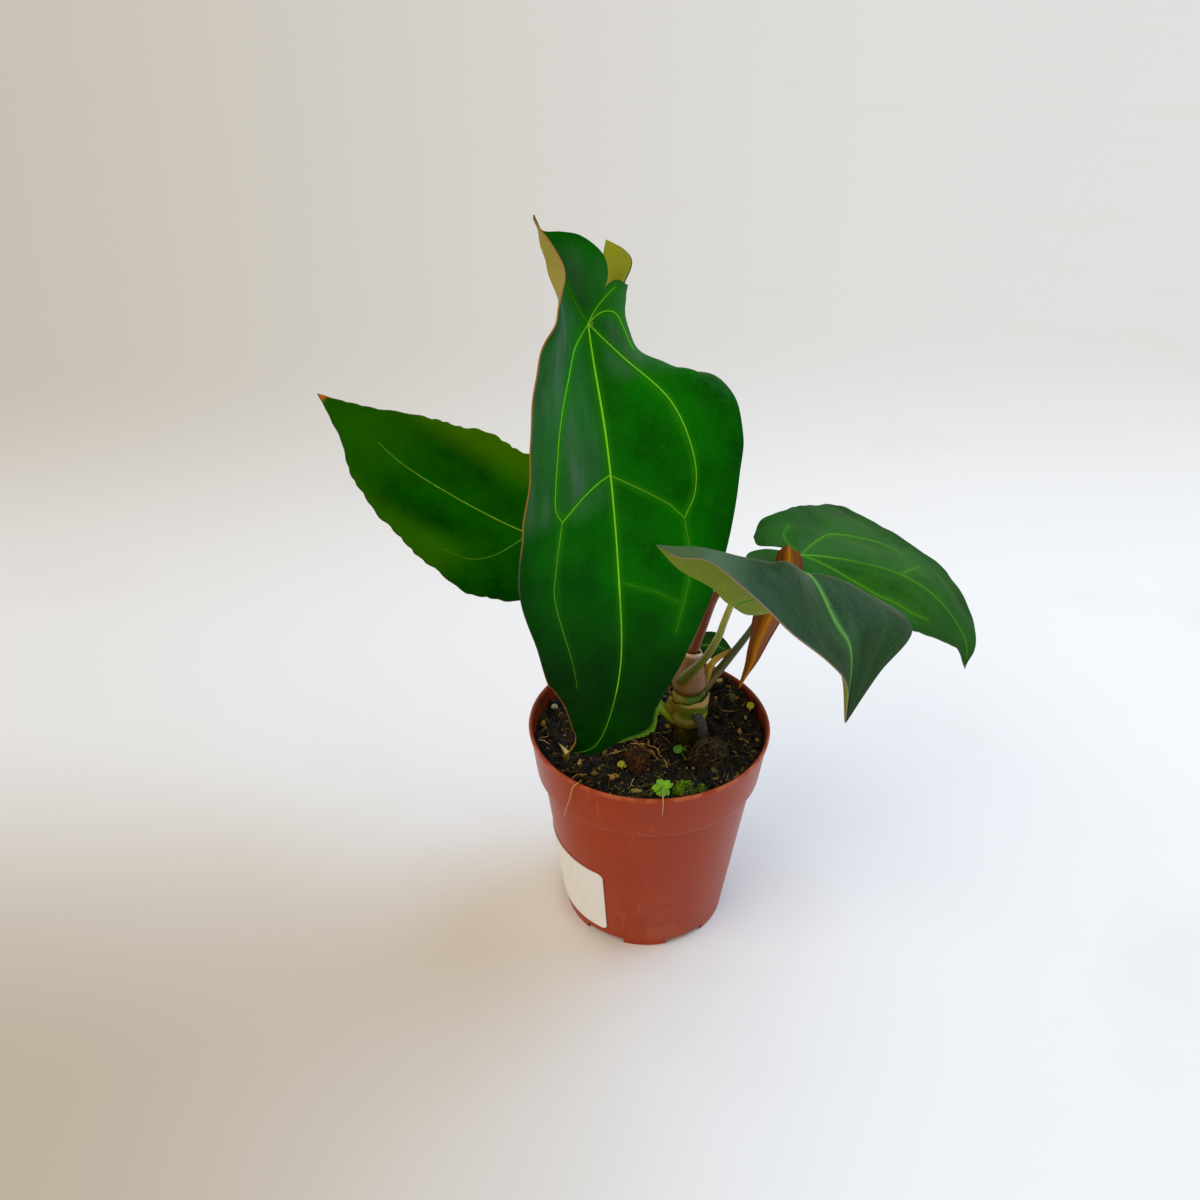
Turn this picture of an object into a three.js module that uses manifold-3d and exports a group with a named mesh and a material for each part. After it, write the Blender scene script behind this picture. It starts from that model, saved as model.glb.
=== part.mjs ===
import * as THREE from 'three';
import { mergeVertices } from 'three/addons/utils/BufferGeometryUtils.js';
import Module from 'manifold-3d';

// A young anthurium in a 9 cm nursery pot, in millimetres. +Z is up and -Y faces the viewer.
// The origin is the centre of the pot's underside.

// Driving dimensions of the pot
const rimRadius = 45;
const potHeight = 86;
const rimWall = 1.5;
const collarFootRadius = 42.3;
const collarFootHeight = 67.5;
const bodyTopRadius = 40;
const bodyTopHeight = 65;
const footRadius = 31.3;
const bodyWall = 1;
const basePlateUnderside = 2.7;
const basePlateTop = 3.9;
const centreDiscRadius = 12;
const footNotchHeight = 2.7;
const footNotchCount = 6;
const footNotchAngle = 30;
const firstNotchAngle = 224;
const drainHoleRadius = 3;
const drainHoleCircle = 22;
const potSegments = 60;

// Driving dimensions of the label, the soil and the plant
const labelThickness = 0.3;
const labelBottom = 6;
const labelTop = 38;
const labelFirstAngle = 152;
const labelLastAngle = 242;
const labelCorner = 1.5;
const labelCornerShare = 0.025;
const soilLevel = 79.5;
const soilEdge = 42.45;
const soilSegments = 40;
const crumbCount = 30;
const crumbReach = 37.5;
const bladeThickness = 0.8;
const leafletThickness = 0.7;
const clearance = 0.3;
const wallClearance = 0.35;

// The stem stands in the soil on main roots. It has a ring where an old leaf sat, and a bud.
const stemCore = {
  points: [[14, -3, 56], [14, -3, 70], [14, -3, 80], [14, -3, 89], [14, -3, 97], [13.7, -2.6, 102.5]],
  radii: [3.4, 4.4, 4.6, 5.6, 6.1, 5.4],
};
const stemRing = { centre: [14, -3, 91], radii: [6.9, 6.7, 1.7] };
const stemBud = { centre: [7.8, -3.6, 95.5], radii: [2, 2.2, 4.2] };
const mainRootAngles = [25, 115, 205, 295];
const mainRootRadii = [2, 1.7, 1.4, 0.9];

// The sheath round the top of the stem is a leaning cone. Each ring has an outer radius and a height.
const sheathWall = 0.9;
const sheathFoot = [13.7, -2.2];
const sheathLean = [1.2, 1];
const sheathRings = [[5.7, 102.8], [6.1, 104.3], [5.7, 107.5], [4.6, 112], [3.6, 116], [3.1, 118.4]];

// A torn strip of an older sheath lies round the front of the stem, with a pointed flap on its right
const oldSheath = {
  centre: [13.9, -2.9],
  firstAngle: 200,
  lastAngle: 355,
  radius: 6.9,
  flare: 0.5,
  bottomHeight: 96.8,
  flapDepth: 4.3,
  topHeight: 99.2,
  topRise: 2.6,
};

// Leaf outlines lie flat: x is the distance from the midrib and y runs from the petiole to the tip.
// A half has a sinus edge, from the petiole to the end of its basal lobe, and a margin from there on.
// Each bend row gives, at one y, the twist about the midrib, then each half's rise at the midrib, its
// further turn and the distance from the midrib at which that turn is centred.
const frontLeaf = {
  spine: [
    [-25, 0, 274], [-22.6, -12, 242.6], [-16.5, -30, 210], [-12.8, -34, 169],
    [-11.8, -31, 130], [-18.5, -24, 95], [-28.5, -20, 85.5], [-33.5, -16, 87],
  ],
  facing: [0, -1, 0.25],
  turnWidth: 10,
  lobeShare: 0.3,
  rows: 24,
  columns: 8,
  bend: [
    { y: -30, twist: 0, left: [0, -125, 18], right: [0, 85, 12] },
    { y: -19, twist: 0, left: [0, -125, 17], right: [0, 118, 11] },
    { y: -8, twist: 0, left: [0, -120, 12.2], right: [0, 95, 7] },
    { y: 2, twist: 0, left: [0, -110, 12], right: [0, 82, 4] },
    { y: 12, twist: 0, left: [0, -92, 15.5], right: [0, 68, 3] },
    { y: 22, twist: 0, left: [0, -60, 31], right: [0, 56, 2] },
    { y: 38, twist: 0, left: [0, -25, 37], right: [0, 45, 2] },
    { y: 72, twist: 0, left: [0, 8, 2], right: [0, 22, 2] },
    { y: 120, twist: 0, left: [0, 6, 2], right: [0, 8, 2] },
    { y: 160, twist: 0, left: [0, 5, 2], right: [0, 5, 2] },
    { y: 174, twist: -100, left: [0, 5, 2], right: [0, 5, 2] },
  ],
  right: {
    sinus: [[0, 0], [-4, -7], [-7, -13], [-6, -19.5], [0, -25], [6, -26.5], [12, -27], [18, -31]],
    margin: [
      [18, -31], [23, -20], [27, -6], [28, 12], [30, 36], [32, 68],
      [32, 82], [28, 103], [24, 125], [15, 145], [10, 156], [0, 176.7],
    ],
  },
  left: {
    sinus: [[0, 0], [4, -8], [9, -12], [13.5, -10.5], [18.5, -11], [24, -19], [38, -25]],
    margin: [
      [38, -25], [40, -15], [41, 0], [40, 20], [40.5, 41], [36, 62],
      [29, 86], [22, 106], [15, 128], [15, 139], [5, 153], [0, 176.7],
    ],
  },
};

const leftBackLeaf = {
  spine: [
    [-22, 16, 138], [-40, 22, 150], [-56, 27, 156], [-73, 33, 163],
    [-91, 40, 172], [-106, 46, 184], [-121, 49, 195],
  ],
  facing: [0.35, -0.45, 0.82],
  turnWidth: 10,
  lobeShare: 0.3,
  rows: 16,
  columns: 5,
  bend: [
    { y: -20, twist: 0, left: [0, 20, 0], right: [0, 20, 0] },
    { y: 0, twist: 0, left: [0, 14, 0], right: [0, 14, 0] },
    { y: 40, twist: 0, left: [0, 12, 0], right: [0, 12, 0] },
    { y: 105, twist: 0, left: [0, 10, 0], right: [0, 10, 0] },
  ],
  right: {
    sinus: [[0, 0], [2, -8], [8, -20], [18, -26]],
    margin: [
      [18, -26], [28, -15], [32, 2], [29, 22], [30, 37],
      [26, 50], [20, 66], [10, 78], [3, 91], [0, 97],
    ],
  },
  left: {
    sinus: [[0, 0], [2, -8], [10, -21], [20, -22]],
    margin: [
      [20, -22], [32, -8], [39, 2], [40, 14], [37, 25],
      [33, 37], [27, 53], [18, 71], [10, 82], [0, 97],
    ],
  },
};

const rightBackLeaf = {
  spine: [
    [36, 12, 148], [53, 15, 149], [72, 20, 144], [92, 22, 137],
    [107.5, 21, 126.5], [119, 18, 111], [119.5, 14, 100],
  ],
  facing: [0.2, -0.5, 0.85],
  turnWidth: 12,
  lobeShare: 0.3,
  rows: 16,
  columns: 5,
  bend: [
    { y: -20, twist: 0, left: [0, -10, 0], right: [0, -10, 0] },
    { y: 0, twist: 0, left: [0, -10, 0], right: [0, -10, 0] },
    { y: 40, twist: 0, left: [0, -25, 0], right: [0, -25, 0] },
    { y: 105, twist: 0, left: [0, -10, 0], right: [0, -10, 0] },
  ],
  right: {
    sinus: [[0, 0], [-2.2, -6], [-4.2, -13], [-3, -19], [3, -22]],
    margin: [
      [3, -22], [12, -20.5], [20, -15], [26, 0], [26, 20],
      [23, 40], [16, 59], [12, 69], [4, 84], [0, 92],
    ],
  },
  left: {
    sinus: [[0, 0], [4, -6], [6, -14], [10, -15]],
    margin: [
      [10, -15], [17, -10], [21, 0], [27, 14], [33, 26],
      [30, 36], [25, 46], [19.5, 62], [11, 76], [3, 86], [0, 92],
    ],
  },
};

// The right front leaf arches like a saddle, so its halves are given as rows of points in space:
// from the midrib, over the crest or the fold, to the margin. The first row is the end of the basal
// lobe, the fourth starts at the petiole and the last is the leaf tip.
const rightFrontNear = [
  [[-3, -65, 197], [-3, -65, 197], [-3, -65, 197]],
  [[4, -61, 187], [2, -66, 197], [3, -70, 196]],
  [[14, -56, 178], [10, -67, 197], [11, -74, 197]],
  [[21, -52, 170], [20, -66, 194], [20, -77, 191]],
  [[32, -50, 173], [29, -64, 191], [27, -81, 186]],
  [[42, -54, 182], [35, -67, 190], [34, -84, 180]],
  [[49, -68, 174], [43, -80, 176], [44, -87, 173]],
  [[53, -76, 168], [49, -83, 167], [50, -87, 165]],
  [[52, -83, 149], [52, -83, 149], [52, -83, 149]],
];
const rightFrontFar = [
  [[26, -36, 165], [26, -36, 165], [26, -36, 165]],
  [[23, -43, 167], [26, -37, 164], [30, -31, 162]],
  [[21, -48, 169], [27, -41, 163], [37, -27, 160]],
  [[21, -52, 170], [29, -44, 161], [44, -25, 158]],
  [[32, -50, 173], [38, -43, 163], [52, -30, 161]],
  [[42, -54, 182], [50, -50, 178], [64, -42, 167]],
  [[49, -68, 174], [60, -62, 174], [74, -59, 166]],
  [[53, -76, 168], [57, -74.5, 164.5], [62, -74, 160]],
  [[52, -83, 149], [52, -83, 149], [52, -83, 149]],
];
const rightFrontRows = 20;
const rightFrontColumns = 6;

// The new leaf hangs folded along its keel, and the small back leaf is flat. Their rows run from the
// petiole to the tip, each from margin to keel or midrib to margin.
const newLeafRows = [
  [[44, -7, 165], [44, -7, 165], [44, -7, 165]],
  [[41, -7, 162], [44, -10, 162], [49, -6, 160]],
  [[41, -6, 155], [44, -11, 156], [50, -5, 152]],
  [[39, -6, 147], [42, -12, 150], [48, -5, 145]],
  [[35, -6, 137], [39, -12, 139], [45, -5, 135]],
  [[34, -7, 127], [36, -11, 128], [41, -6, 126]],
  [[33, -8, 118], [35, -9, 118], [37, -8, 118]],
  [[31, -9, 107], [31, -9, 107], [31, -9, 107]],
];
const smallLeafRows = [
  [[19, 20, 106], [19, 20, 106], [19, 20, 106]],
  [[20, 21, 111], [20, 19, 107], [21, 18, 103]],
  [[25, 22, 111], [25, 19, 107], [25, 17, 102]],
  [[29, 21, 108], [29, 19, 105], [29, 18, 102]],
  [[33, 20, 102], [33, 20, 102], [33, 20, 102]],
];

// Petioles, from inside the stem to the blade, each with its radius along the way
const petioles = {
  leaf_front: {
    points: [
      [13, 1, 97], [9, 10, 112], [0, 18, 150], [-13, 22, 195], [-17.5, 12, 226], [-21.6, -14.9, 239.6],
    ],
    radii: [2.3, 2.1, 1.9, 1.8, 1.7, 1.6],
  },
  leaf_left_back: {
    points: [[11, -3, 87], [2.5, -2, 96], [-10, 6, 113], [-26, 15, 135], [-39.5, 22, 149.7]],
    radii: [1.9, 1.8, 1.6, 1.5, 1.5],
  },
  leaf_right_front: {
    points: [
      [12.5, -3.5, 103.2], [11.4, -5, 108], [17.2, -18, 126],
      [19.6, -34, 145.5], [20, -44, 158], [21, -51.7, 169.8],
    ],
    radii: [2.4, 2.2, 1.4, 1.2, 1.1, 1.3],
  },
  leaf_right_back: {
    points: [[16, 0, 95], [21.7, 2, 102.1], [36.1, 8, 120.7], [44.4, 12, 135.8], [52.6, 15, 148.7]],
    radii: [2.4, 1.8, 1.2, 1.1, 1.2],
  },
  leaf_new: {
    points: [
      [15, 1.2, 103.2], [14.2, 0.3, 113], [17.5, -5, 131], [21.2, -9, 147],
      [27, -10.5, 151], [35, -10.5, 152], [41.5, -8.5, 157], [44.2, -7, 164.4],
    ],
    radii: [1.8, 2.1, 1.6, 1.4, 1.3, 1.3, 1.3, 1.2],
  },
  leaf_small_back: {
    points: [[15, 2, 97], [18, 13, 100], [19.5, 20, 106]],
    radii: [1.2, 1, 0.8],
  },
};
const sheathStrip = {
  points: [[20, 1.2, 100], [21.7, 3, 108], [24.6, 4, 111.5], [31, 7.5, 113.4]],
  radii: [1.7, 1.4, 1.1, 0.5],
};

const petioleSides = 7;
const petioleSteps = 15;
const rootSides = 5;
const rootSteps = 5;
const twigSides = 6;
const twigSteps = 6;
const leafGreen = '#1c5220';
const wasm = await Module();
wasm.setup();

// A smooth curve through the points, which starts and ends on the first and the last
function curveThrough(points) {
  const vectors = points.map(([x, y, z = 0]) => new THREE.Vector3(x, y, z));
  return new THREE.CatmullRomCurve3(vectors, false, 'catmullrom', 0.5);
}

function smoothstep(value) {
  const t = THREE.MathUtils.clamp(value, 0, 1);
  return t * t * (3 - 2 * t);
}

// The same triangles with shared vertices merged, and the flat ones left out
function weld(geometry) {
  const bare = geometry.clone();
  bare.deleteAttribute('normal');
  bare.deleteAttribute('uv');
  const merged = mergeVertices(bare, 1e-4);
  const index = merged.index.array;
  const kept = [];
  for (let i = 0; i < index.length; i += 3) {
    const [a, b, c] = [index[i], index[i + 1], index[i + 2]];
    if (a !== b && b !== c && c !== a) kept.push(a, b, c);
  }
  merged.setIndex(kept);
  return merged;
}

function toSolid(geometry) {
  const closed = weld(geometry);
  return new wasm.Manifold(new wasm.Mesh({
    numProp: 3,
    vertProperties: new Float32Array(closed.attributes.position.array),
    triVerts: new Uint32Array(closed.index.array),
  }));
}

function toGeometry(solid) {
  const mesh = solid.getMesh();
  const geometry = new THREE.BufferGeometry();
  geometry.setAttribute('position', new THREE.BufferAttribute(new Float32Array(mesh.vertProperties), 3));
  geometry.setIndex(new THREE.BufferAttribute(new Uint32Array(mesh.triVerts), 1));
  return geometry;
}

// The biggest body of a solid, so that no loose scrap of a cut is left
function mainBody(solid) {
  const bodies = solid.decompose().sort((a, b) => b.volume() - a.volume());
  return bodies[0];
}

function fuse(geometries) {
  return mainBody(geometries.map(toSolid).reduce((whole, piece) => whole.add(piece)));
}

function cut(solid, tools) {
  return mainBody(tools.reduce((left, tool) => left.subtract(tool), solid));
}

// A round rod along a curve, with a radius at each of its points, grown outwards by `extra`
function rod({ points, radii }, sides = 8, steps = 20, extra = 0) {
  const path = curveThrough(points);
  const frames = path.computeFrenetFrames(steps, false);
  const positions = [];
  const index = [];
  for (let i = 0; i <= steps; i++) {
    const share = (i / steps) * (radii.length - 1);
    const low = Math.min(Math.floor(share), radii.length - 2);
    const radius = THREE.MathUtils.lerp(radii[low], radii[low + 1], share - low) + extra;
    const centre = path.getPoint(i / steps);
    if (i === 0) centre.addScaledVector(frames.tangents[0], -extra);
    if (i === steps) centre.addScaledVector(frames.tangents[steps], extra);
    for (let j = 0; j < sides; j++) {
      const angle = (2 * Math.PI * j) / sides;
      const point = centre.clone();
      point.addScaledVector(frames.normals[i], radius * Math.cos(angle));
      point.addScaledVector(frames.binormals[i], radius * Math.sin(angle));
      positions.push(...point.toArray());
    }
  }
  for (let i = 0; i < steps; i++) {
    for (let j = 0; j < sides; j++) {
      const [a, b] = [i * sides + j, i * sides + ((j + 1) % sides)];
      index.push(a, b, b + sides, a, b + sides, a + sides);
    }
  }
  const last = steps * sides;
  for (let j = 1; j < sides - 1; j++) {
    index.push(0, j + 1, j, last, last + j, last + j + 1);
  }
  const geometry = new THREE.BufferGeometry();
  geometry.setAttribute('position', new THREE.Float32BufferAttribute(positions, 3));
  geometry.setIndex(index);
  return geometry;
}

// A sheet of even thickness from grids of points, which share the points where they meet
function thicken(grids, thickness) {
  const points = [];
  const known = new Map();
  const triangles = [];
  const indexOf = (point) => {
    const key = point.toArray().map((value) => Math.round(value * 1e4)).join(' ');
    if (!known.has(key)) {
      known.set(key, points.length);
      points.push(point);
    }
    return known.get(key);
  };
  for (const { rows, flipped } of grids) {
    for (let i = 0; i + 1 < rows.length; i++) {
      for (let j = 0; j + 1 < rows[i].length; j++) {
        const [a, b] = [indexOf(rows[i][j]), indexOf(rows[i][j + 1])];
        const [c, d] = [indexOf(rows[i + 1][j + 1]), indexOf(rows[i + 1][j])];
        const halves = flipped ? [[a, d, c], [a, c, b]] : [[a, b, c], [a, c, d]];
        for (const half of halves) {
          if (new Set(half).size === 3) triangles.push(half);
        }
      }
    }
  }
  const normals = points.map(() => new THREE.Vector3());
  const edges = new Set();
  for (const [a, b, c] of triangles) {
    const side = points[b].clone().sub(points[a]);
    const normal = side.cross(points[c].clone().sub(points[a]));
    for (const corner of [a, b, c]) normals[corner].add(normal);
    for (const edge of [[a, b], [b, c], [c, a]]) edges.add(edge.join(' '));
  }
  const count = points.length;
  const positions = [];
  for (const half of [thickness / 2, -thickness / 2]) {
    points.forEach((point, i) => {
      positions.push(...point.clone().addScaledVector(normals[i].clone().normalize(), half).toArray());
    });
  }
  const index = [];
  for (const [a, b, c] of triangles) {
    index.push(a, b, c, a + count, c + count, b + count);
    for (const [p, q] of [[a, b], [b, c], [c, a]]) {
      if (!edges.has(`${q} ${p}`)) index.push(q, p, p + count, q, p + count, q + count);
    }
  }
  const geometry = new THREE.BufferGeometry();
  geometry.setAttribute('position', new THREE.Float32BufferAttribute(positions, 3));
  geometry.setIndex(index);
  return geometry;
}

// The midrib of a bent leaf in space: places, directions and distances from the petiole
function midrib(leaf) {
  const stepsPerSpan = 40;
  const path = curveThrough(leaf.spine);
  const steps = stepsPerSpan * (leaf.spine.length - 1);
  const places = path.getPoints(steps);
  const distances = [0];
  for (let i = 1; i <= steps; i++) distances.push(distances[i - 1] + places[i].distanceTo(places[i - 1]));
  const start = distances[stepsPerSpan];
  const facing = new THREE.Vector3(...leaf.facing);
  const stations = places.map((place, i) => {
    const y = distances[i] - start;
    const before = places[Math.max(i - 1, 0)];
    const after = places[Math.min(i + 1, steps)];
    const along = after.clone().sub(before).normalize();
    const up = facing.clone().addScaledVector(along, -along.dot(facing)).normalize();
    const across = along.clone().cross(up);
    const twist = THREE.MathUtils.degToRad(bendAt(leaf, y, (row) => row.twist));
    const turnedUp = up.clone().multiplyScalar(Math.cos(twist)).addScaledVector(across, Math.sin(twist));
    return { y, place, along, up: turnedUp, across: along.clone().cross(turnedUp) };
  });
  return stations;
}

// One value of the bend rows at y, as a smooth curve through them
function bendAt(leaf, y, pick) {
  const rows = leaf.bend;
  const last = rows.length - 1;
  const inside = THREE.MathUtils.clamp(y, rows[0].y, rows[last].y);
  let i = 0;
  while (i < last - 1 && inside >= rows[i + 1].y) i++;
  const slope = (k) => {
    const [low, high] = [rows[Math.max(k - 1, 0)], rows[Math.min(k + 1, last)]];
    return (pick(high) - pick(low)) / (high.y - low.y);
  };
  const span = rows[i + 1].y - rows[i].y;
  const t = (inside - rows[i].y) / span;
  return (2 * t ** 3 - 3 * t ** 2 + 1) * pick(rows[i]) + (t ** 3 - 2 * t ** 2 + t) * span * slope(i)
    + (3 * t ** 2 - 2 * t ** 3) * pick(rows[i + 1]) + (t ** 3 - t ** 2) * span * slope(i + 1);
}

// A point of the flat outline, placed on the bent leaf. `side` is 1 for the right half, -1 for the left.
function bentPoint(leaf, stations, x, y, side) {
  const last = stations.length - 1;
  let i = 0;
  while (i < last - 1 && stations[i + 1].y < y) i++;
  const [low, high] = [stations[i], stations[i + 1]];
  const share = THREE.MathUtils.clamp((y - low.y) / (high.y - low.y), 0, 1);
  const blend = (key) => low[key].clone().lerp(high[key], share);
  const past = Math.max(y - stations[last].y, 0) + Math.min(y - stations[0].y, 0);
  const half = side > 0 ? 'right' : 'left';
  const [rise, turn, hinge] = [0, 1, 2].map((k) => bendAt(leaf, y, (row) => row[half][k]));
  const steps = 16;
  const outward = x * side;
  let [across, up] = [0, 0];
  for (let k = 0; k < steps; k++) {
    const reached = ((k + 0.5) / steps) * outward;
    const turned = smoothstep((reached - hinge) / leaf.turnWidth + 0.5);
    const angle = THREE.MathUtils.degToRad(rise + turn * turned);
    across += (Math.cos(angle) * outward) / steps;
    up += (Math.sin(angle) * outward) / steps;
  }
  return blend('place').addScaledVector(blend('along').normalize(), past)
    .addScaledVector(blend('across'), side * across).addScaledVector(blend('up'), up);
}

// Points at even distances along part of a curve
function evenPoints(path, from, to, count) {
  return Array.from({ length: count + 1 }, (_, i) => path.getPointAt(from + ((to - from) * i) / count));
}

// One half of a bent leaf as a grid: rows from the end of the lobe to the tip, columns from the
// sinus edge or the midrib to the margin
function halfGrid(leaf, side) {
  const half = side > 0 ? leaf.right : leaf.left;
  const marginSplit = 0.22;
  const lobeRows = Math.max(2, Math.round(leaf.rows * leaf.lobeShare));
  const tipRows = leaf.rows - lobeRows;
  const sinus = curveThrough([...half.sinus].reverse());
  const margin = curveThrough(half.margin);
  margin.arcLengthDivisions = 400;
  const tip = half.margin[half.margin.length - 1];
  const rib = new THREE.LineCurve3(new THREE.Vector3(), new THREE.Vector3(...tip, 0));
  const inner = [...evenPoints(sinus, 0, 1, lobeRows), ...evenPoints(rib, 0, 1, tipRows).slice(1)];
  const outer = [
    ...evenPoints(margin, 0, marginSplit, lobeRows),
    ...evenPoints(margin, marginSplit, 1, tipRows).slice(1),
  ];
  const stations = midrib(leaf);
  const rows = inner.map((start, i) => Array.from({ length: leaf.columns + 1 }, (_, j) => {
    const flat = start.clone().lerp(outer[i], j / leaf.columns);
    return bentPoint(leaf, stations, flat.x * side, flat.y, side);
  }));
  return { rows, flipped: side > 0 };
}

// A grid of points on the smooth surface through rows of three points
function netGrid(net, rowCount, columnCount, flipped) {
  const lines = [0, 1, 2].map((k) => curveThrough(net.map((row) => row[k])));
  const rows = Array.from({ length: rowCount + 1 }, (_, i) => {
    const across = new THREE.CatmullRomCurve3(
      lines.map((line) => line.getPoint(i / rowCount)), false, 'catmullrom', 0.5,
    );
    return across.getPoints(columnCount);
  });
  return { rows, flipped };
}

// An uneven lump: a rounded body with seeded hollows and bulges, grown outwards by `extra`
function lump(centre, radii, detail, roughness, seed, extra = 0) {
  const geometry = weld(new THREE.IcosahedronGeometry(1, detail));
  const position = geometry.attributes.position;
  for (let i = 0; i < position.count; i++) {
    const p = new THREE.Vector3().fromBufferAttribute(position, i);
    const sideBulge = Math.sin(5.1 * p.x + seed) * Math.sin(4.3 * p.y + 2 * seed);
    const bulge = sideBulge + Math.sin(6.7 * p.z + 3 * seed);
    const size = 1 + roughness * bulge * 0.5;
    position.setXYZ(
      i,
      centre[0] + p.x * (radii[0] * size + extra),
      centre[1] + p.y * (radii[1] * size + extra),
      centre[2] + p.z * (radii[2] * size + extra),
    );
  }
  return geometry;
}

function bladeOf(leaf) {
  return thicken([halfGrid(leaf, 1), halfGrid(leaf, -1)], bladeThickness);
}

const blades = {
  leaf_front: bladeOf(frontLeaf),
  leaf_left_back: bladeOf(leftBackLeaf),
  leaf_right_back: bladeOf(rightBackLeaf),
  leaf_right_front: thicken([
    netGrid(rightFrontNear, rightFrontRows, rightFrontColumns, true),
    netGrid(rightFrontFar, rightFrontRows, rightFrontColumns, false),
  ], bladeThickness),
  leaf_new: thicken([netGrid(newLeafRows, 14, 4, true)], bladeThickness),
  leaf_small_back: thicken([netGrid(smallLeafRows, 8, 4, true)], leafletThickness),
};

function revolved(profile, segments) {
  const geometry = new THREE.LatheGeometry(profile.map(([r, z]) => new THREE.Vector2(r, z)), segments);
  geometry.rotateX(Math.PI / 2);
  return geometry;
}

function makePot() {
  const profile = [
    [0, 0], [centreDiscRadius, 0], [centreDiscRadius + 0.6, basePlateUnderside],
    [footRadius - 2.5, basePlateUnderside], [footRadius - 1.7, 0], [footRadius, 0],
    [bodyTopRadius, bodyTopHeight], [collarFootRadius, bodyTopHeight + 1.7],
    [collarFootRadius, collarFootHeight], [rimRadius - 0.5, potHeight - 1.6],
    [rimRadius, potHeight - 1.2], [rimRadius - 0.2, potHeight], [rimRadius - rimWall, potHeight],
    [collarFootRadius - bodyWall, collarFootHeight + 0.6], [bodyTopRadius - bodyWall, bodyTopHeight + 0.9],
    [footRadius - bodyWall + 0.2, basePlateTop], [0, basePlateTop],
  ];
  const body = toSolid(revolved(profile, potSegments));
  const tools = [];
  for (let i = 0; i < footNotchCount; i++) {
    const start = THREE.MathUtils.degToRad(firstNotchAngle + (i * 360) / footNotchCount);
    const end = start + THREE.MathUtils.degToRad(footNotchAngle);
    const sector = new THREE.Shape();
    sector.absarc(0, 0, footRadius + 2, start, end, false);
    sector.absarc(0, 0, footRadius - 4, end, start, true);
    const notchSettings = { depth: footNotchHeight + 1, bevelEnabled: false, curveSegments: 6 };
    const notch = new THREE.ExtrudeGeometry(sector, notchSettings);
    tools.push(toSolid(notch.translate(0, 0, -1)));
    const middle = (start + end) / 2 + Math.PI / footNotchCount;
    const hole = new THREE.CylinderGeometry(drainHoleRadius, drainHoleRadius, basePlateTop * 2, 16);
    hole.rotateX(Math.PI / 2);
    hole.translate(drainHoleCircle * Math.cos(middle), drainHoleCircle * Math.sin(middle), basePlateTop);
    tools.push(toSolid(hole));
  }
  return cut(body, tools);
}

// The pot's outer radius at a height below its collar
function potRadiusAt(z) {
  return footRadius + ((bodyTopRadius - footRadius) * z) / bodyTopHeight;
}

// How far round the label a column stands. The columns next to its ends make the cut corners.
function labelShare(i, columns) {
  if (i === 1) return labelCornerShare;
  if (i === columns - 1) return 1 - labelCornerShare;
  return i / columns;
}

function makeLabel() {
  const [columns, lines] = [14, 1];
  const rows = Array.from({ length: columns + 1 }, (_, i) => {
    const inset = i === 0 || i === columns ? labelCorner : 0;
    const share = labelShare(i, columns);
    return Array.from({ length: lines + 1 }, (_unused, j) => {
      const angle = THREE.MathUtils.degToRad(THREE.MathUtils.lerp(labelFirstAngle, labelLastAngle, share));
      const z = THREE.MathUtils.lerp(labelBottom + inset, labelTop - inset, j / lines);
      const radius = potRadiusAt(z) + clearance + labelThickness / 2;
      return new THREE.Vector3(radius * Math.cos(angle), radius * Math.sin(angle), z);
    });
  });
  return thicken([{ rows, flipped: false }], labelThickness);
}

// The height of the soil above its level: heaped at the back right, banked at the right, uneven all over
function soilRelief(x, y) {
  const heap = 6 * Math.exp(-((x - 31) ** 2 + (y - 28) ** 2) / (2 * 13 ** 2));
  const bank = 2 * Math.exp(-((x - 44) ** 2 + (y + 4) ** 2) / (2 * 12 ** 2));
  const swell = 0.7 * Math.sin(0.31 * x + 0.8) * Math.cos(0.27 * y - 0.5);
  const lumps = 0.5 * Math.sin(0.83 * x + 0.41 * y) + 0.35 * Math.cos(1.1 * y - 0.6 * x + 1);
  return heap + bank + swell + lumps;
}

function soilHeight(x, y) {
  return soilLevel + soilRelief(x, y);
}

function makeSoil(neighbours) {
  const topRadii = [soilEdge, 40, 36.5, 32, 27.5, 23, 18.5, 14, 9.5, 5];
  const profile = [
    [0, basePlateTop + clearance], [footRadius - bodyWall - 0.2, basePlateTop + clearance],
    [bodyTopRadius - bodyWall - wallClearance, bodyTopHeight + 1],
    [collarFootRadius - bodyWall - wallClearance, collarFootHeight + 1],
    ...topRadii.map((r) => [r, soilLevel]), [0, soilLevel],
  ];
  const geometry = revolved(profile, soilSegments);
  const position = geometry.attributes.position;
  for (let i = 0; i < position.count; i++) {
    if (position.getZ(i) < soilLevel - 0.01) continue;
    position.setZ(i, soilHeight(position.getX(i), position.getY(i)));
  }
  let solid = toSolid(geometry);
  const golden = Math.PI * (3 - Math.sqrt(5));
  for (let i = 0; i < crumbCount; i++) {
    const radius = crumbReach * Math.sqrt((i + 0.5) / crumbCount);
    const [x, y] = [radius * Math.cos(golden * i), radius * Math.sin(golden * i)];
    const size = 1.3 + 0.8 * Math.abs(Math.sin(12.9 * i));
    const crumb = lump([x, y, soilHeight(x, y) - 0.1], [size * 1.2, size, size * 0.8], 0, 0.3, i + 0.4);
    solid = solid.add(toSolid(crumb));
  }
  return cut(solid, neighbours);
}

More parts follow.
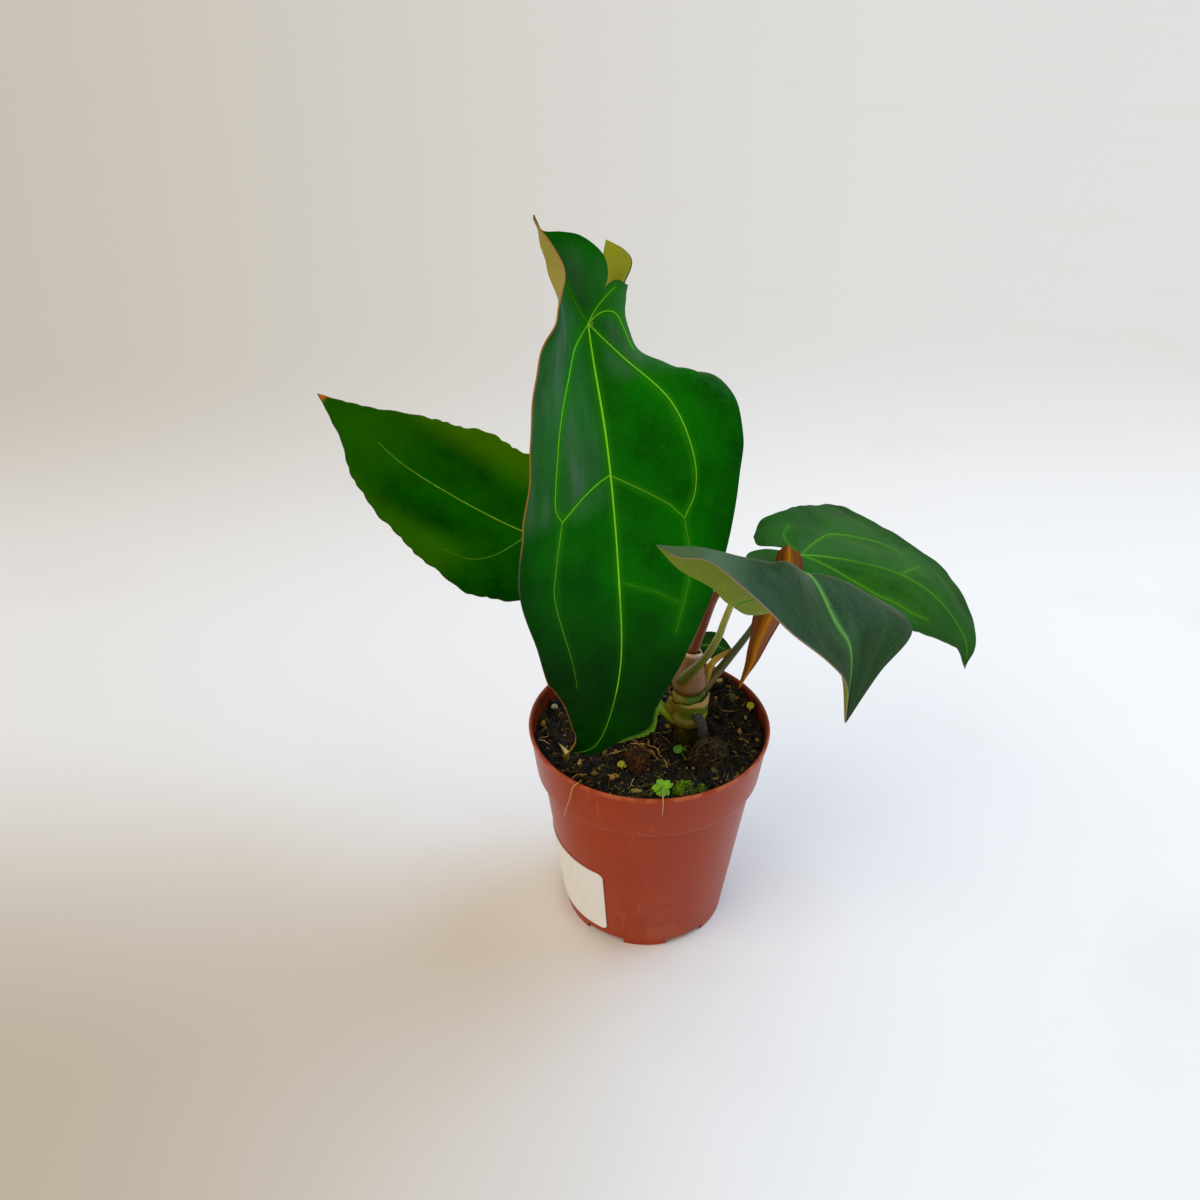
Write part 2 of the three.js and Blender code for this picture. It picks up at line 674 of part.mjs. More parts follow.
function makeStem(extra) {
  const core = rod(stemCore, 10, 10, extra);
  const ring = lump(stemRing.centre, stemRing.radii, 1, 0.03, 1, extra);
  const bud = lump(stemBud.centre, stemBud.radii, 1, 0.05, 2, extra);
  const roots = mainRootAngles.map((degrees, i) => {
    const angle = THREE.MathUtils.degToRad(degrees);
    const [c, s] = [Math.cos(angle), Math.sin(angle)];
    return rod({
      points: [[14, -3, 62 + i], [14 + 9 * c, -3 + 9 * s, 56], [24 * c, 24 * s, 38], [26 * c, 26 * s, 18]],
      radii: mainRootRadii,
    }, rootSides, rootSteps, extra);
  });
  return fuse([core, ring, bud, ...roots]);
}

// The brown sheath round the stem's top, an open cone that the petioles come out of
function makeSheath(neighbours) {
  const inner = sheathRings.map(([radius, z]) => [radius - sheathWall, z]).reverse();
  const cone = revolved([inner[inner.length - 1], ...sheathRings, ...inner], 16);
  const position = cone.attributes.position;
  const [bottom, top] = [sheathRings[0][1], sheathRings[sheathRings.length - 1][1]];
  for (let i = 0; i < position.count; i++) {
    const share = (position.getZ(i) - bottom) / (top - bottom);
    position.setX(i, position.getX(i) + sheathFoot[0] + sheathLean[0] * share);
    position.setY(i, position.getY(i) + sheathFoot[1] + sheathLean[1] * share);
  }
  return cut(toSolid(cone), neighbours);
}

function makeOldSheath(neighbours) {
  const { centre, firstAngle, lastAngle, radius, flare } = oldSheath;
  const [columns, lines] = [12, 3];
  const rows = Array.from({ length: columns + 1 }, (_, i) => {
    const share = i / columns;
    const angle = THREE.MathUtils.degToRad(THREE.MathUtils.lerp(firstAngle, lastAngle, share));
    const bottom = oldSheath.bottomHeight - oldSheath.flapDepth * smoothstep((share - 0.5) / 0.4);
    const top = oldSheath.topHeight + oldSheath.topRise * share;
    return Array.from({ length: lines + 1 }, (_unused, j) => {
      const z = THREE.MathUtils.lerp(bottom, top, j / lines);
      const reach = radius + flare * (j / lines);
      return new THREE.Vector3(centre[0] + reach * Math.cos(angle), centre[1] + reach * Math.sin(angle), z);
    });
  });
  return cut(toSolid(thicken([{ rows, flipped: false }], leafletThickness)), neighbours);
}

// A seedling: a stalk in the soil with one or more round leaflets
function makeSeedling(foot, top, leaflets, size, extra = 0) {
  const stalk = rod({ points: [foot, top], radii: [0.5, 0.4] }, 6, 2, extra);
  const pieces = leaflets.map(([dx, dy, dz], i) => lump(
    [top[0] + dx, top[1] + dy, top[2] + dz], [size, size * 0.85, leafletThickness / 2 + 0.1], 1, 0, i, extra,
  ));
  return fuse([stalk, ...pieces]);
}

const seedlings = {
  clover_seedling: [[3.5, -35, 77], [3.5, -35, 82.6], [[-2, 0.4, 0.2], [1.9, 0.6, 0.2], [0, -1.9, 0]], 1.8],
  round_leaf_seedling: [[12.6, -13, 77], [11, -12.6, 82.8], [[-0.8, -0.5, -0.1]], 1.9],
  yellow_seedling: [[-10.4, -20.6, 77], [-10.7, -20.4, 81.8], [[0, 0, 0.1]], 1.5],
  rim_seedling: [[38.5, 11.5, 78], [39, 11.8, 84.3], [[0.2, 0.2, 0]], 1.6],
};
const lumps = {
  bark_chunk: [[-4.5, -18.5, 81.4], [5, 4.1, 4.9], 1, 0.16, 3],
  fibre_ball: [[21.9, -15.2, 81.8], [6.9, 6.8, 6.5], 2, 0.1, 5],
  moss_patch: [[13, -31.5, 80], [5.6, 3.4, 2.2], 1, 0.14, 8],
  husk: [[-5.6, -33.4, 80.2], [2, 0.9, 0.8], 1, 0.05, 4],
  perlite_grain: [[-36, 15.5, 80.4], [1.2, 1.1, 1], 1, 0.12, 6],
};
const twigs = {
  twig_long: { points: [[-25, 24, 81], [-21, 10, 80.6], [-18, -4, 80.2]], radii: [0.9, 0.8, 0.6] },
  twig_short: { points: [[-8, -3, 81], [-2, -10, 80.6], [3.4, -17, 80.6]], radii: [0.7, 0.8, 0.6] },
};
const aerialRoot = {
  points: [[15, -6, 97], [18.4, -10.8, 92.8], [19.2, -10.4, 87.6]],
  radii: [1.5, 1.8, 1.5],
};

// The petioles and small rods with their clearance, which cut room for themselves in what they cross
const grownStem = makeStem(clearance);
const grownPetioles = Object.values(petioles)
  .map((petiole) => toSolid(rod(petiole, petioleSides, petioleSteps, clearance)));
const grownStrip = toSolid(rod(sheathStrip, twigSides, twigSteps, clearance));
const grownAerialRoot = toSolid(rod(aerialRoot, twigSides, twigSteps, clearance));
const stemNeighbours = [grownStem, ...grownPetioles, grownStrip];

const solids = { pot: makePot(), label: toSolid(makeLabel()), stem: makeStem(0) };
for (const [name, petiole] of Object.entries(petioles)) {
  const pieces = [rod(petiole, petioleSides, petioleSteps), blades[name]];
  if (name === 'leaf_right_back') pieces.push(rod(sheathStrip, twigSides, twigSteps));
  solids[name] = cut(fuse(pieces), [grownStem]);
}
solids.sheath = makeSheath(stemNeighbours);
solids.old_sheath = makeOldSheath([...stemNeighbours, grownAerialRoot]);
solids.aerial_root = cut(toSolid(rod(aerialRoot, twigSides, twigSteps)), [grownStem]);

const holes = [grownStem];
for (const [name, [centre, radii, detail, roughness, seed]] of Object.entries(lumps)) {
  solids[name] = toSolid(lump(centre, radii, detail, roughness, seed));
  holes.push(toSolid(lump(centre, radii, detail, roughness, seed, clearance)));
}
for (const [name, [foot, top, leaflets, size]] of Object.entries(seedlings)) {
  solids[name] = makeSeedling(foot, top, leaflets, size);
  holes.push(makeSeedling(foot, top, leaflets, size, clearance));
}
for (const [name, twig] of Object.entries(twigs)) {
  solids[name] = toSolid(rod(twig, twigSides, twigSteps));
  holes.push(toSolid(rod(twig, twigSides, twigSteps, clearance)));
}
solids.soil = makeSoil(holes);

// Colour, roughness and metalness of each piece
const finishes = {
  pot: ['#8a3a20', 0.45],
  label: ['#e9e7e2', 0.5],
  soil: ['#1d1611', 0.95],
  stem: ['#7a7440', 0.6],
  sheath: ['#8d5a48', 0.6],
  old_sheath: ['#a5a055', 0.6],
  aerial_root: ['#6f6a63', 0.8],
  leaf_front: [leafGreen, 0.4],
  leaf_left_back: [leafGreen, 0.4],
  leaf_right_front: ['#27503a', 0.4],
  leaf_right_back: [leafGreen, 0.4],
  leaf_new: ['#9a4a1c', 0.4],
  leaf_small_back: ['#3c5138', 0.5],
  bark_chunk: ['#4a3424', 0.9],
  fibre_ball: ['#5b4a33', 0.95],
  moss_patch: ['#7c8a2e', 0.9],
  husk: ['#c9a77c', 0.7],
  perlite_grain: ['#dcd6cb', 0.9],
  twig_long: ['#6b5134', 0.85],
  twig_short: ['#6b5134', 0.85],
  clover_seedling: ['#5f9a2c', 0.6],
  round_leaf_seedling: ['#5f9a2c', 0.6],
  yellow_seedling: ['#b5a13a', 0.6],
  rim_seedling: ['#79a03a', 0.6],
};

const plant = new THREE.Group();
for (const [name, [colour, roughness]] of Object.entries(finishes)) {
  const material = new THREE.MeshStandardMaterial({ color: colour, roughness, metalness: 0 });
  const mesh = new THREE.Mesh(toGeometry(solids[name]), material);
  mesh.name = name;
  plant.add(mesh);
}

export default plant;
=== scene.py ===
# %% [markdown]
# # A potted anthurium
# The plant is a young aroid with heart-shaped, light-veined leaves. It stands in a small nursery pot.
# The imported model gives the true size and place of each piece. This script dresses it: fine leaves in
# place of the faceted ones, veins, bark, moss and peat, and a finish for every surface.

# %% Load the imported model
import math
import bpy
import numpy as np
from mathutils import Matrix, Vector, noise


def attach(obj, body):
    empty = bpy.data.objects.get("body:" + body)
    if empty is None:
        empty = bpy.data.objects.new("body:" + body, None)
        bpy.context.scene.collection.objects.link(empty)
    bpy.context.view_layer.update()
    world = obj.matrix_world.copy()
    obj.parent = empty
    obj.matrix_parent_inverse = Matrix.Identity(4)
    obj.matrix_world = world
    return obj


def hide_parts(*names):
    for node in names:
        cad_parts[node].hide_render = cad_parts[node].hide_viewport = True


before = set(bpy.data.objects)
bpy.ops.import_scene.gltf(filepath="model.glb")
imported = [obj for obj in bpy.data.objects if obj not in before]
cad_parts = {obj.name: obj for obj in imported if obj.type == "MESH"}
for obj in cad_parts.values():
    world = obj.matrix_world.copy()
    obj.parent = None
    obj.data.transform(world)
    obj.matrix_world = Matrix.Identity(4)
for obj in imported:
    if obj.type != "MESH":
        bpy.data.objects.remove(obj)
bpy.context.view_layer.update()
MM = 0.001
rng = np.random.default_rng(7)
bpy.context.scene.view_settings.view_transform = "Standard"
print("nodes in the frame:", len(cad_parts))

# %% [markdown]
# The camera repeats the photograph's: a normal lens about half a metre away, looking down on the
# plant. It was found from the pot's rim, a circle of known size and height, so no trial and error is
# needed: where the rim fits, every leaf fits.

# %% Camera
camera_data = bpy.data.cameras.new("camera")
camera_data.sensor_width = 36
camera_data.lens = 36
camera = bpy.data.objects.new("camera", camera_data)
bpy.context.scene.collection.objects.link(camera)
bpy.context.scene.camera = camera
camera_place = Vector((-0.0186, -0.3575, 0.3603))
camera_lift = Matrix.Rotation(math.radians(58.2), 4, "X")
camera_roll = Matrix.Rotation(math.radians(0.3), 4, "Z")
camera.matrix_world = Matrix.Translation(camera_place) @ camera_lift @ camera_roll
print("camera at", tuple(round(value, 4) for value in camera_place))

# %% [markdown]
# Cool daylight from a window far to the right gives a broad soft shadow at the left, so it is a sun with a
# wide angle: a sun lights the whole floor evenly, and a lamp near the pot would not. Everything else in the
# room is warm: a weak sun from the left, and the world. So the shadow is not only darker but browner.

# %% Light
def add_sun(name, came_from, strength, spread, colour):
    """One sun lamp that shines from a direction, with a soft edge to its shadows."""
    data = bpy.data.lights.new(name, "SUN")
    data.energy = strength
    data.angle = math.radians(spread)
    data.color = colour
    lamp = bpy.data.objects.new(name, data)
    bpy.context.scene.collection.objects.link(lamp)
    lamp.rotation_euler = Vector(came_from).to_track_quat("Z", "Y").to_euler()


add_sun("window", (0.75, 0.30, 0.95), 1.8, 42, (0.42, 0.69, 1.0))
add_sun("lamp", (-0.75, -0.55, 0.75), 1.04, 50, (1.0, 0.85, 0.62))
world = bpy.data.worlds.new("pale_room")
bpy.context.scene.world = world
world.use_nodes = True
world.node_tree.nodes["Background"].inputs["Color"].default_value = (1.0, 0.86, 0.72, 1)
world.node_tree.nodes["Background"].inputs["Strength"].default_value = 0.66

# %% [markdown]
# Shader maths is easier to read as a formula than as a row of nodes. A Wire stands for one socket's value,
# so `1 - mask * 0.5` adds the Math nodes by itself. A Finish is one material while it is being mixed, and
# its `add` makes any other node.

# %% Shader helpers
def both_sides(operation):
    """What Python calls for a sign, first with the Wire on its left and then with the Wire on its right."""
    return (
        lambda wire, other: wire.finish.maths(operation, wire, other),
        lambda wire, other: wire.finish.maths(operation, other, wire),
    )


class Wire:
    """The value of one socket, for use in formulas."""

    def __init__(self, finish, socket):
        self.finish = finish
        self.socket = socket

    __add__, __radd__ = both_sides("ADD")
    __sub__, __rsub__ = both_sides("SUBTRACT")
    __mul__, __rmul__ = both_sides("MULTIPLY")


class Finish:
    """A material, from its node tree to its Principled shader."""

    def __init__(self, name, roughness, gloss=0.5):
        self.material = bpy.data.materials.new(name)
        self.material.use_nodes = True
        self.tree = self.material.node_tree
        self.shader = self.tree.nodes["Principled BSDF"]
        self.shader.inputs["Roughness"].default_value = roughness
        self.shader.inputs["Specular IOR Level"].default_value = gloss

    def fill(self, socket, value):
        if isinstance(value, Wire):
            self.tree.links.new(value.socket, socket)
        elif socket.type == "RGBA":
            socket.default_value = (*screen(value), 1)
        else:
            socket.default_value = value

    def add(self, kind, settings=None, inputs=None, output=0):
        """One node of any type: its settings first, then what goes into its sockets."""
        node = self.tree.nodes.new(kind)
        for key, value in (settings or {}).items():
            if key == "stops":
                ramp = node.color_ramp.elements
                while len(ramp) < len(value):
                    ramp.new(0.5)
                for element, (place, colour) in zip(ramp, value):
                    element.position = place
                    element.color = (*screen(colour), 1)
            else:
                setattr(node, key, value)
        for key, value in (inputs or {}).items():
            self.fill(node.inputs[key], value)
        return Wire(self, node.outputs[output])

    def maths(self, operation, first, second):
        return self.add("ShaderNodeMath", {"operation": operation}, {0: first, 1: second})

    def place(self):
        return self.add("ShaderNodeTexCoord", output="Object")

    def flat(self):
        return self.add("ShaderNodeUVMap", {"uv_map": "flat"})

    def stretched(self, vector, scale):
        return self.add("ShaderNodeMapping", None, {"Vector": vector, "Scale": scale})

    def noise(self, vector, scale, detail=2.0, roughness=0.5):
        inputs = {"Vector": vector, "Scale": scale, "Detail": detail, "Roughness": roughness}
        return self.add("ShaderNodeTexNoise", None, inputs)

    def cells(self, vector, scale):
        settings = {"feature": "DISTANCE_TO_EDGE"}
        return self.add("ShaderNodeTexVoronoi", settings, {"Vector": vector, "Scale": scale})

    def painted(self, name):
        return self.add("ShaderNodeAttribute", {"attribute_name": name}, None, "Fac")

    def part(self, vector, axis):
        return self.add("ShaderNodeSeparateXYZ", None, {0: vector}, "XYZ".index(axis))

    def step(self, value, low, high):
        inputs = {"Value": value, "From Min": low, "From Max": high}
        return self.add("ShaderNodeMapRange", {"interpolation_type": "SMOOTHSTEP"}, inputs)

    def mix(self, share, first, second):
        return self.add("ShaderNodeMix", {"data_type": "RGBA"}, {0: share, 6: first, 7: second}, 2)

    def coats(self, colour, *coats):
        """A colour under further coats, each given as its share and its colour."""
        for share, shade in coats:
            colour = self.mix(share, colour, shade)
        return colour

    def ramp(self, value, *stops):
        return self.add("ShaderNodeValToRGB", {"stops": stops}, {0: value})

    def use(self, colour, height=None, depth=0, strength=1, roughness=None):
        """The finished material, with relief and its own roughness if asked."""
        self.fill(self.shader.inputs["Base Color"], colour)
        if height is not None:
            inputs = {"Height": height, "Distance": depth, "Strength": strength}
            self.fill(self.shader.inputs["Normal"], self.add("ShaderNodeBump", None, inputs))
        if roughness is not None:
            self.fill(self.shader.inputs["Roughness"], roughness)
        return self.material


def screen(colour):
    """A colour as a screen shows it, red, green and blue from 0 to 255, turned into light."""
    shares = [value / 255 for value in colour]
    return tuple(s / 12.92 if s <= 0.04045 else ((s + 0.055) / 1.055) ** 2.4 for s in shares)


def brighter(colour, times):
    """A screen colour with its light multiplied."""
    return tuple(255 * (1.055 * (times * light) ** (1 / 2.4) - 0.055) for light in screen(colour))

# %% [markdown]
# The sweep of paper under the pot is nearly white. Light and shade are painted on it: it is painted warmer
# and dimmer at the left, away from the window, and far away, and lightest just behind the plant, as a
# painted pool of light. It is only a stage, so a plain sheet is enough.

# %% Floor
def paper_finish():
    skin = Finish("pale_paper", 0.7)
    place = skin.place()
    x, y = skin.part(place, "X"), skin.part(place, "Y")
    # Painted light and shade: lighter towards the window at the right and just behind the plant, darker far
    # away.
    depth = skin.maths("MAXIMUM", y + 0.5, 0.3)
    side = skin.step(skin.maths("DIVIDE", x, depth), -0.62, 0.3)
    middle = skin.step(y, -0.1, 0.12) * (1 - skin.step(y, 0.16, 0.6))
    stain = skin.step(skin.noise(place, 7, 3), 0.55, 0.8)
    return skin.use(skin.coats(
        skin.mix(side, (187, 176, 159), (238, 242, 247)),
        (middle * 0.55, (248, 251, 255)),
        (skin.step(y, 0.16, 0.7) * 0.5, (196, 191, 180)),
        (stain * 0.15, (205, 195, 178)),
    ))


bpy.ops.object.select_all(action="DESELECT")
bpy.ops.mesh.primitive_plane_add(size=14)
floor = bpy.context.object
floor.name = "paper_floor"
floor.data.materials.append(paper_finish())
print("floor is laid")

# %% [markdown]
# Each piece starts as a primitive and is shaped from there. These helpers keep one piece selected at a time,
# read and place its vertices, run a modifier, and give it its finish and body.

# %% Piece helpers
def take(piece):
    """Make one piece the only selected and active one."""
    bpy.ops.object.select_all(action="DESELECT")
    piece.select_set(True)
    bpy.context.view_layer.objects.active = piece


def primitive(operator, name, **settings):
    """A new piece from one of Blender's primitives, the only one selected."""
    bpy.ops.object.select_all(action="DESELECT")
    operator(**settings)
    piece = bpy.context.object
    piece.name = name
    return piece


def points_of(piece):
    places = np.empty(len(piece.data.vertices) * 3)
    piece.data.vertices.foreach_get("co", places)
    return places.reshape(-1, 3)


def set_points(piece, places):
    piece.data.vertices.foreach_set("co", np.asarray(places, float).ravel())
    piece.data.update()


def paint_points(piece, name, values):
    """A number for each vertex, which materials read by its name."""
    layer = piece.data.attributes.new(name, "FLOAT", "POINT")
    layer.data.foreach_set("value", np.asarray(values, float))


def paint_flat(piece, u, v):
    """The map called flat, from two numbers for each vertex."""
    corners = np.empty(len(piece.data.loops), int)
    piece.data.loops.foreach_get("vertex_index", corners)
    layer = piece.data.uv_layers.get("flat") or piece.data.uv_layers.new(name="flat")
    layer.data.foreach_set("uv", np.stack([u[corners], v[corners]], -1).ravel())


def join(pieces, name):
    take(pieces[0])
    for piece in pieces:
        piece.select_set(True)
    bpy.ops.object.join()
    pieces[0].name = name
    return pieces[0]


def end_edit(outward=True):
    """Leaves edit mode, with all faces turned outwards."""
    bpy.ops.mesh.select_all(action="SELECT")
    if outward:
        bpy.ops.mesh.normals_make_consistent(inside=False)
    bpy.ops.object.mode_set(mode="OBJECT")


def merge(piece, distance, outward=True):
    """Merges the vertices that lie within a distance in millimetres."""
    take(piece)
    bpy.ops.object.mode_set(mode="EDIT")
    bpy.ops.mesh.select_all(action="SELECT")
    bpy.ops.mesh.remove_doubles(threshold=distance * MM)
    end_edit(outward)
    return piece


def modify(piece, kind, **settings):
    modifier = piece.modifiers.new(kind.lower(), kind)
    for key, value in settings.items():
        setattr(modifier, key, value)
    take(piece)
    bpy.ops.object.modifier_apply(modifier=modifier.name)
    return piece


def settle(piece, slot, *nodes, skin=None, smooth=50):
    """The last step of each piece: finish, shading, body and the nodes that it stands for. Its slot is not
    used.
    """
    if skin:
        piece.data.materials.append(skin)
    take(piece)
    bpy.ops.object.transform_apply(location=True, rotation=True, scale=True)
    if smooth:
        bpy.ops.object.shade_smooth_by_angle(angle=math.radians(smooth))
    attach(piece, "root")
    if nodes:
        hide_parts(*nodes)
    print(piece.name, "has", len(piece.data.polygons), "faces")

# %% [markdown]
# Smooth curves run through a few points, as a bent wire does. The same rule bends the leaves here and in
# the solid model, so the fine leaves lie where the solids are.

# %% Curve helpers
def smooth_between(a, b, c, d, t):
    """The smooth curve from b to c, with a before it and d after it."""
    return 0.5 * (2 * b + (c - a) * t + (2 * a - 5 * b + 4 * c - d) * t**2 + (3 * b - a - 3 * c + d) * t**3)


def curve_points(points, count):
    """Points at even shares of a smooth curve through the given ones."""
    known = np.asarray(points, float)
    spans = len(known) - 1
    known = np.vstack([2 * known[0] - known[1], known, 2 * known[-1] - known[-2]])
    share = np.linspace(0, spans, count + 1)
    low = np.minimum(share.astype(int), spans - 1)
    t = (share - low)[:, None]
    return smooth_between(known[low], known[low + 1], known[low + 2], known[low + 3], t)


def distances(points):
    steps = np.linalg.norm(np.diff(points, axis=0), axis=1)
    return np.concatenate([[0], np.cumsum(steps)])


def at_shares(points, where, known):
    """Points of a line, read at places along it."""
    return np.stack([np.interp(where, known, points[:, k]) for k in range(points.shape[1])], -1)


def even_points(points, count):
    """The same line as points at even distances."""
    reached = distances(points)
    return at_shares(points, np.linspace(0, reached[-1], count + 1), reached)


def unit(vectors):
    return vectors / np.maximum(np.linalg.norm(vectors, axis=-1, keepdims=True), 1e-12)


def turned_round(middle, radius, angle, z):
    """Points at a radius and an angle round an upright axis, at their heights."""
    return np.stack([middle[0] + radius * np.cos(angle), middle[1] + radius * np.sin(angle), z], -1)


def smoothstep(value, low=0.0, high=1.0):
    t = np.clip((value - low) / (high - low), 0, 1)
    return t * t * (3 - 2 * t)

# %% [markdown]
# A sheet is a grid whose vertices are placed by a formula, and a tube is a sheet rolled up round a curve
# and closed at its ends. Petioles, veins, roots, twigs and dead fibres are all tubes. A curve object with
# a bevel would do as well, but a grid keeps its own map for colour along the length.

# %% Sheets and tubes
def flat_grid(name, rows, columns):
    """A grid, and for each vertex its shares along and across, from 0 to 1."""
    piece = primitive(
        bpy.ops.mesh.primitive_grid_add, name, x_subdivisions=columns, y_subdivisions=rows, size=1,
    )
    across, along = np.clip(points_of(piece)[:, :2] + 0.5, 0, 1).T
    return piece, along, across


def sheet(name, rows, columns, form, mapped=False, thickness=0):
    """A grid placed in space by `form`, which takes its shares. It may get its map and a thickness."""
    piece, along, across = flat_grid(name, rows, columns)
    set_points(piece, form(along, across) * MM)
    if mapped:
        index = np.arange(len(piece.data.vertices))
        paint_flat(piece, (index % (columns + 1)) / columns, (index // (columns + 1)) / rows)
    if thickness:
        modify(piece, "SOLIDIFY", thickness=thickness * MM, offset=0)
    return piece


def stations(along, steps):
    """For a rolled sheet: the station that each vertex belongs to, and whether it closes an end."""
    row = np.rint(along * (steps + 2)).astype(int)
    return np.clip(row - 1, 0, steps), (row == 0) | (row == steps + 2)


def rolled(name, steps, sides, form, distance, tone=None):
    """A sheet rolled up by `form`. Its seam and its ends are merged, and it may get an even tone."""
    piece = sheet(name, steps + 2, sides, form, mapped=True)
    if tone is not None:
        paint_points(piece, "tone", np.full(len(piece.data.vertices), tone))
    return merge(piece, distance)


def tube(name, points, radii, sides=12, steps=30, tone=None):
    """A round rod along a smooth curve, with radii read along the way."""
    path = curve_points(points, steps)
    along = unit(np.gradient(path, axis=0))
    first = np.cross(along[0], (0.3, 0.2, 1.0))
    sideways = [first / np.linalg.norm(first)]
    for direction in along[1:]:
        turned = sideways[-1] - direction * np.dot(sideways[-1], direction)
        sideways.append(turned / np.linalg.norm(turned))
    sideways = np.array(sideways)
    upright = np.cross(along, sideways)
    thick = np.interp(np.linspace(0, 1, steps + 1), np.linspace(0, 1, len(radii)), radii)

    def form(share, round_share):
        station, ends = stations(share, steps)
        radius = np.where(ends, 0, thick[station])[:, None]
        angle = (2 * np.pi * round_share)[:, None]
        swing = np.cos(angle) * sideways[station] + np.sin(angle) * upright[station]
        return path[station] + radius * swing

    return rolled(name, steps, sides, form, 0.001, tone)

# %% [markdown]
# A leaf starts flat: each half has an outline, from the petiole round its basal lobe to the tip. Then the
# midrib is bent along a curve in space, and each half turns up or down at a hinge line of its own. This
# keeps the leaf's real width and its veins wherever it rolls.

# %% Bent leaves
class BentLeaf:
    """A flat heart-shaped leaf, bent along its midrib. x > 0 is the right half, and y runs to the tip."""

    margin_split = 0.22
    margin_points = 800
    lobe_share = 0.3
    sides = (1, -1)

    def __init__(self, spine, facing, turn_width, bend, right, left):
        self.turn_width = turn_width
        self.bend = np.array([[y, twist, *lefts, *rights] for y, twist, lefts, rights in bend], float)
        self.outlines = {1: right, -1: left}
        per_span = 40
        self.places = curve_points(spine, per_span * (len(spine) - 1))
        reached = distances(self.places)
        self.y = reached - reached[per_span]
        self.length = self.y[-1]
        self.along = unit(np.gradient(self.places, axis=0))
        face = np.asarray(facing, float)
        up = unit(face - (self.along @ face)[:, None] * self.along)
        across = np.cross(self.along, up)
        twist = np.radians(self.bend_at(self.y, 1))[:, None]
        self.up = np.cos(twist) * up + np.sin(twist) * across
        self.across = np.cross(self.along, self.up)

    def bend_at(self, y, column):
        """One column of the bend rows at y, as a smooth curve through them."""
        known, values = self.bend[:, 0], self.bend[:, column]
        y = np.clip(y, known[0], known[-1])
        count = len(known)
        before = np.maximum(np.arange(count) - 1, 0)
        after = np.minimum(np.arange(count) + 1, count - 1)
        slopes = (values[after] - values[before]) / (known[after] - known[before])
        i = np.clip(np.searchsorted(known, y, side="right") - 1, 0, count - 2)
        span = known[i + 1] - known[i]
        t = (y - known[i]) / span
        start = (2 * t**3 - 3 * t**2 + 1) * values[i] + (t**3 - 2 * t**2 + t) * span * slopes[i]
        return start + (3 * t**2 - 2 * t**3) * values[i + 1] + (t**3 - t**2) * span * slopes[i + 1]

    def place(self, side, x, y):
        """Flat points of one half, placed in space."""
        here, along, across, up = (
            at_shares(lines, y, self.y) for lines in (self.places, self.along, self.across, self.up)
        )
        past = np.maximum(y - self.y[-1], 0) + np.minimum(y - self.y[0], 0)
        first = 4 if side > 0 else 2
        turn, hinge = self.bend_at(y, first), self.bend_at(y, first + 1)
        outward = x * side
        steps = 16
        over = np.zeros_like(x)
        lift = np.zeros_like(x)
        for k in range(steps):
            reached = (k + 0.5) / steps * outward
            angle = np.radians(turn * smoothstep((reached - hinge) / self.turn_width + 0.5))
            over += np.cos(angle) * outward / steps
            lift += np.sin(angle) * outward / steps
        return here + past[:, None] * unit(along) + (side * over)[:, None] * across + lift[:, None] * up

    def margin(self, side):
        """The edge of one half, from the end of its lobe to the tip."""
        tip = (0, self.length)
        return even_points(curve_points([*self.outlines[side][1], tip], 240), self.margin_points)

    def grid(self, side, along, across):
        """Flat points for shares along the leaf and across one half, and how far they are from its edge."""
        inner_line = even_points(curve_points(self.outlines[side][0][::-1], 60), 200)
        margin_line = self.margin(side)
        cut = int(self.margin_split * self.margin_points)

        def outline(line, share):
            return at_shares(line, np.clip(share, 0, 1), distances(line) / distances(line)[-1])

        lobe = self.lobe_share
        in_lobe = (along < lobe)[:, None]
        rib = np.stack([np.zeros_like(along), (along - lobe) / (1 - lobe) * self.length], -1)
        inner = np.where(in_lobe, outline(inner_line, along / lobe), rib)
        lobe_edge = outline(margin_line[: cut + 1], along / lobe)
        blade_edge = outline(margin_line[cut:], (along - lobe) / (1 - lobe))
        outer = np.where(in_lobe, lobe_edge, blade_edge)
        waviness = np.sin(1.05 * outer[:, 1] + 1.6 * np.sin(0.21 * outer[:, 1] + side))
        outer[:, 0] += self.scallop * waviness * np.sin(np.pi * along) ** 0.5
        flat = inner + (outer - inner) * across[:, None]
        edge = np.linalg.norm(outer - inner, axis=1) * (1 - across)
        return flat[:, 0] * side, flat[:, 1], edge

# %% [markdown]
# The right front leaf arches like a saddle and the young leaf is still folded, so each of their halves is
# a smooth sheet through rows of three points in space, from the midrib over the fold to the margin.

# %% Netted leaves
class NetLeaf:
    """A leaf as a smooth sheet through rows of points. x and y are millimetres on the sheet."""

    def __init__(self, width, length, right, left=None):
        self.width = width
        self.length = length
        self.nets = {1: np.array(right, float)}
        if left is not None:
            self.nets[-1] = np.array(left, float)
        self.sides = tuple(self.nets)

    def place(self, side, x, y):
        def through(points, share, spans):
            before = 2 * points[:, :1] - points[:, 1:2]
            after = 2 * points[:, -1:] - points[:, -2:-1]
            known = np.concatenate([before, points, after], 1)
            share = np.clip(share, 0, 1) * spans
            low = np.minimum(share.astype(int), spans - 1)
            rows = np.arange(len(share))
            a, b, c, d = (known[rows, low + k] for k in range(4))
            return smooth_between(a, b, c, d, (share - low)[:, None])

        net = self.nets[side]
        lines = []
        for k in range(3):
            line = np.broadcast_to(net[None, :, k], (len(x), len(net), 3))
            lines.append(through(line, y / self.length, len(net) - 1))
        return through(np.stack(lines, 1), np.abs(x) / self.width, 2)

    def grid(self, side, along, across):
        from_edge = 1 - across if len(self.sides) == 2 else np.minimum(across, 1 - across)
        return side * across * self.width, along * self.length, from_edge * self.width

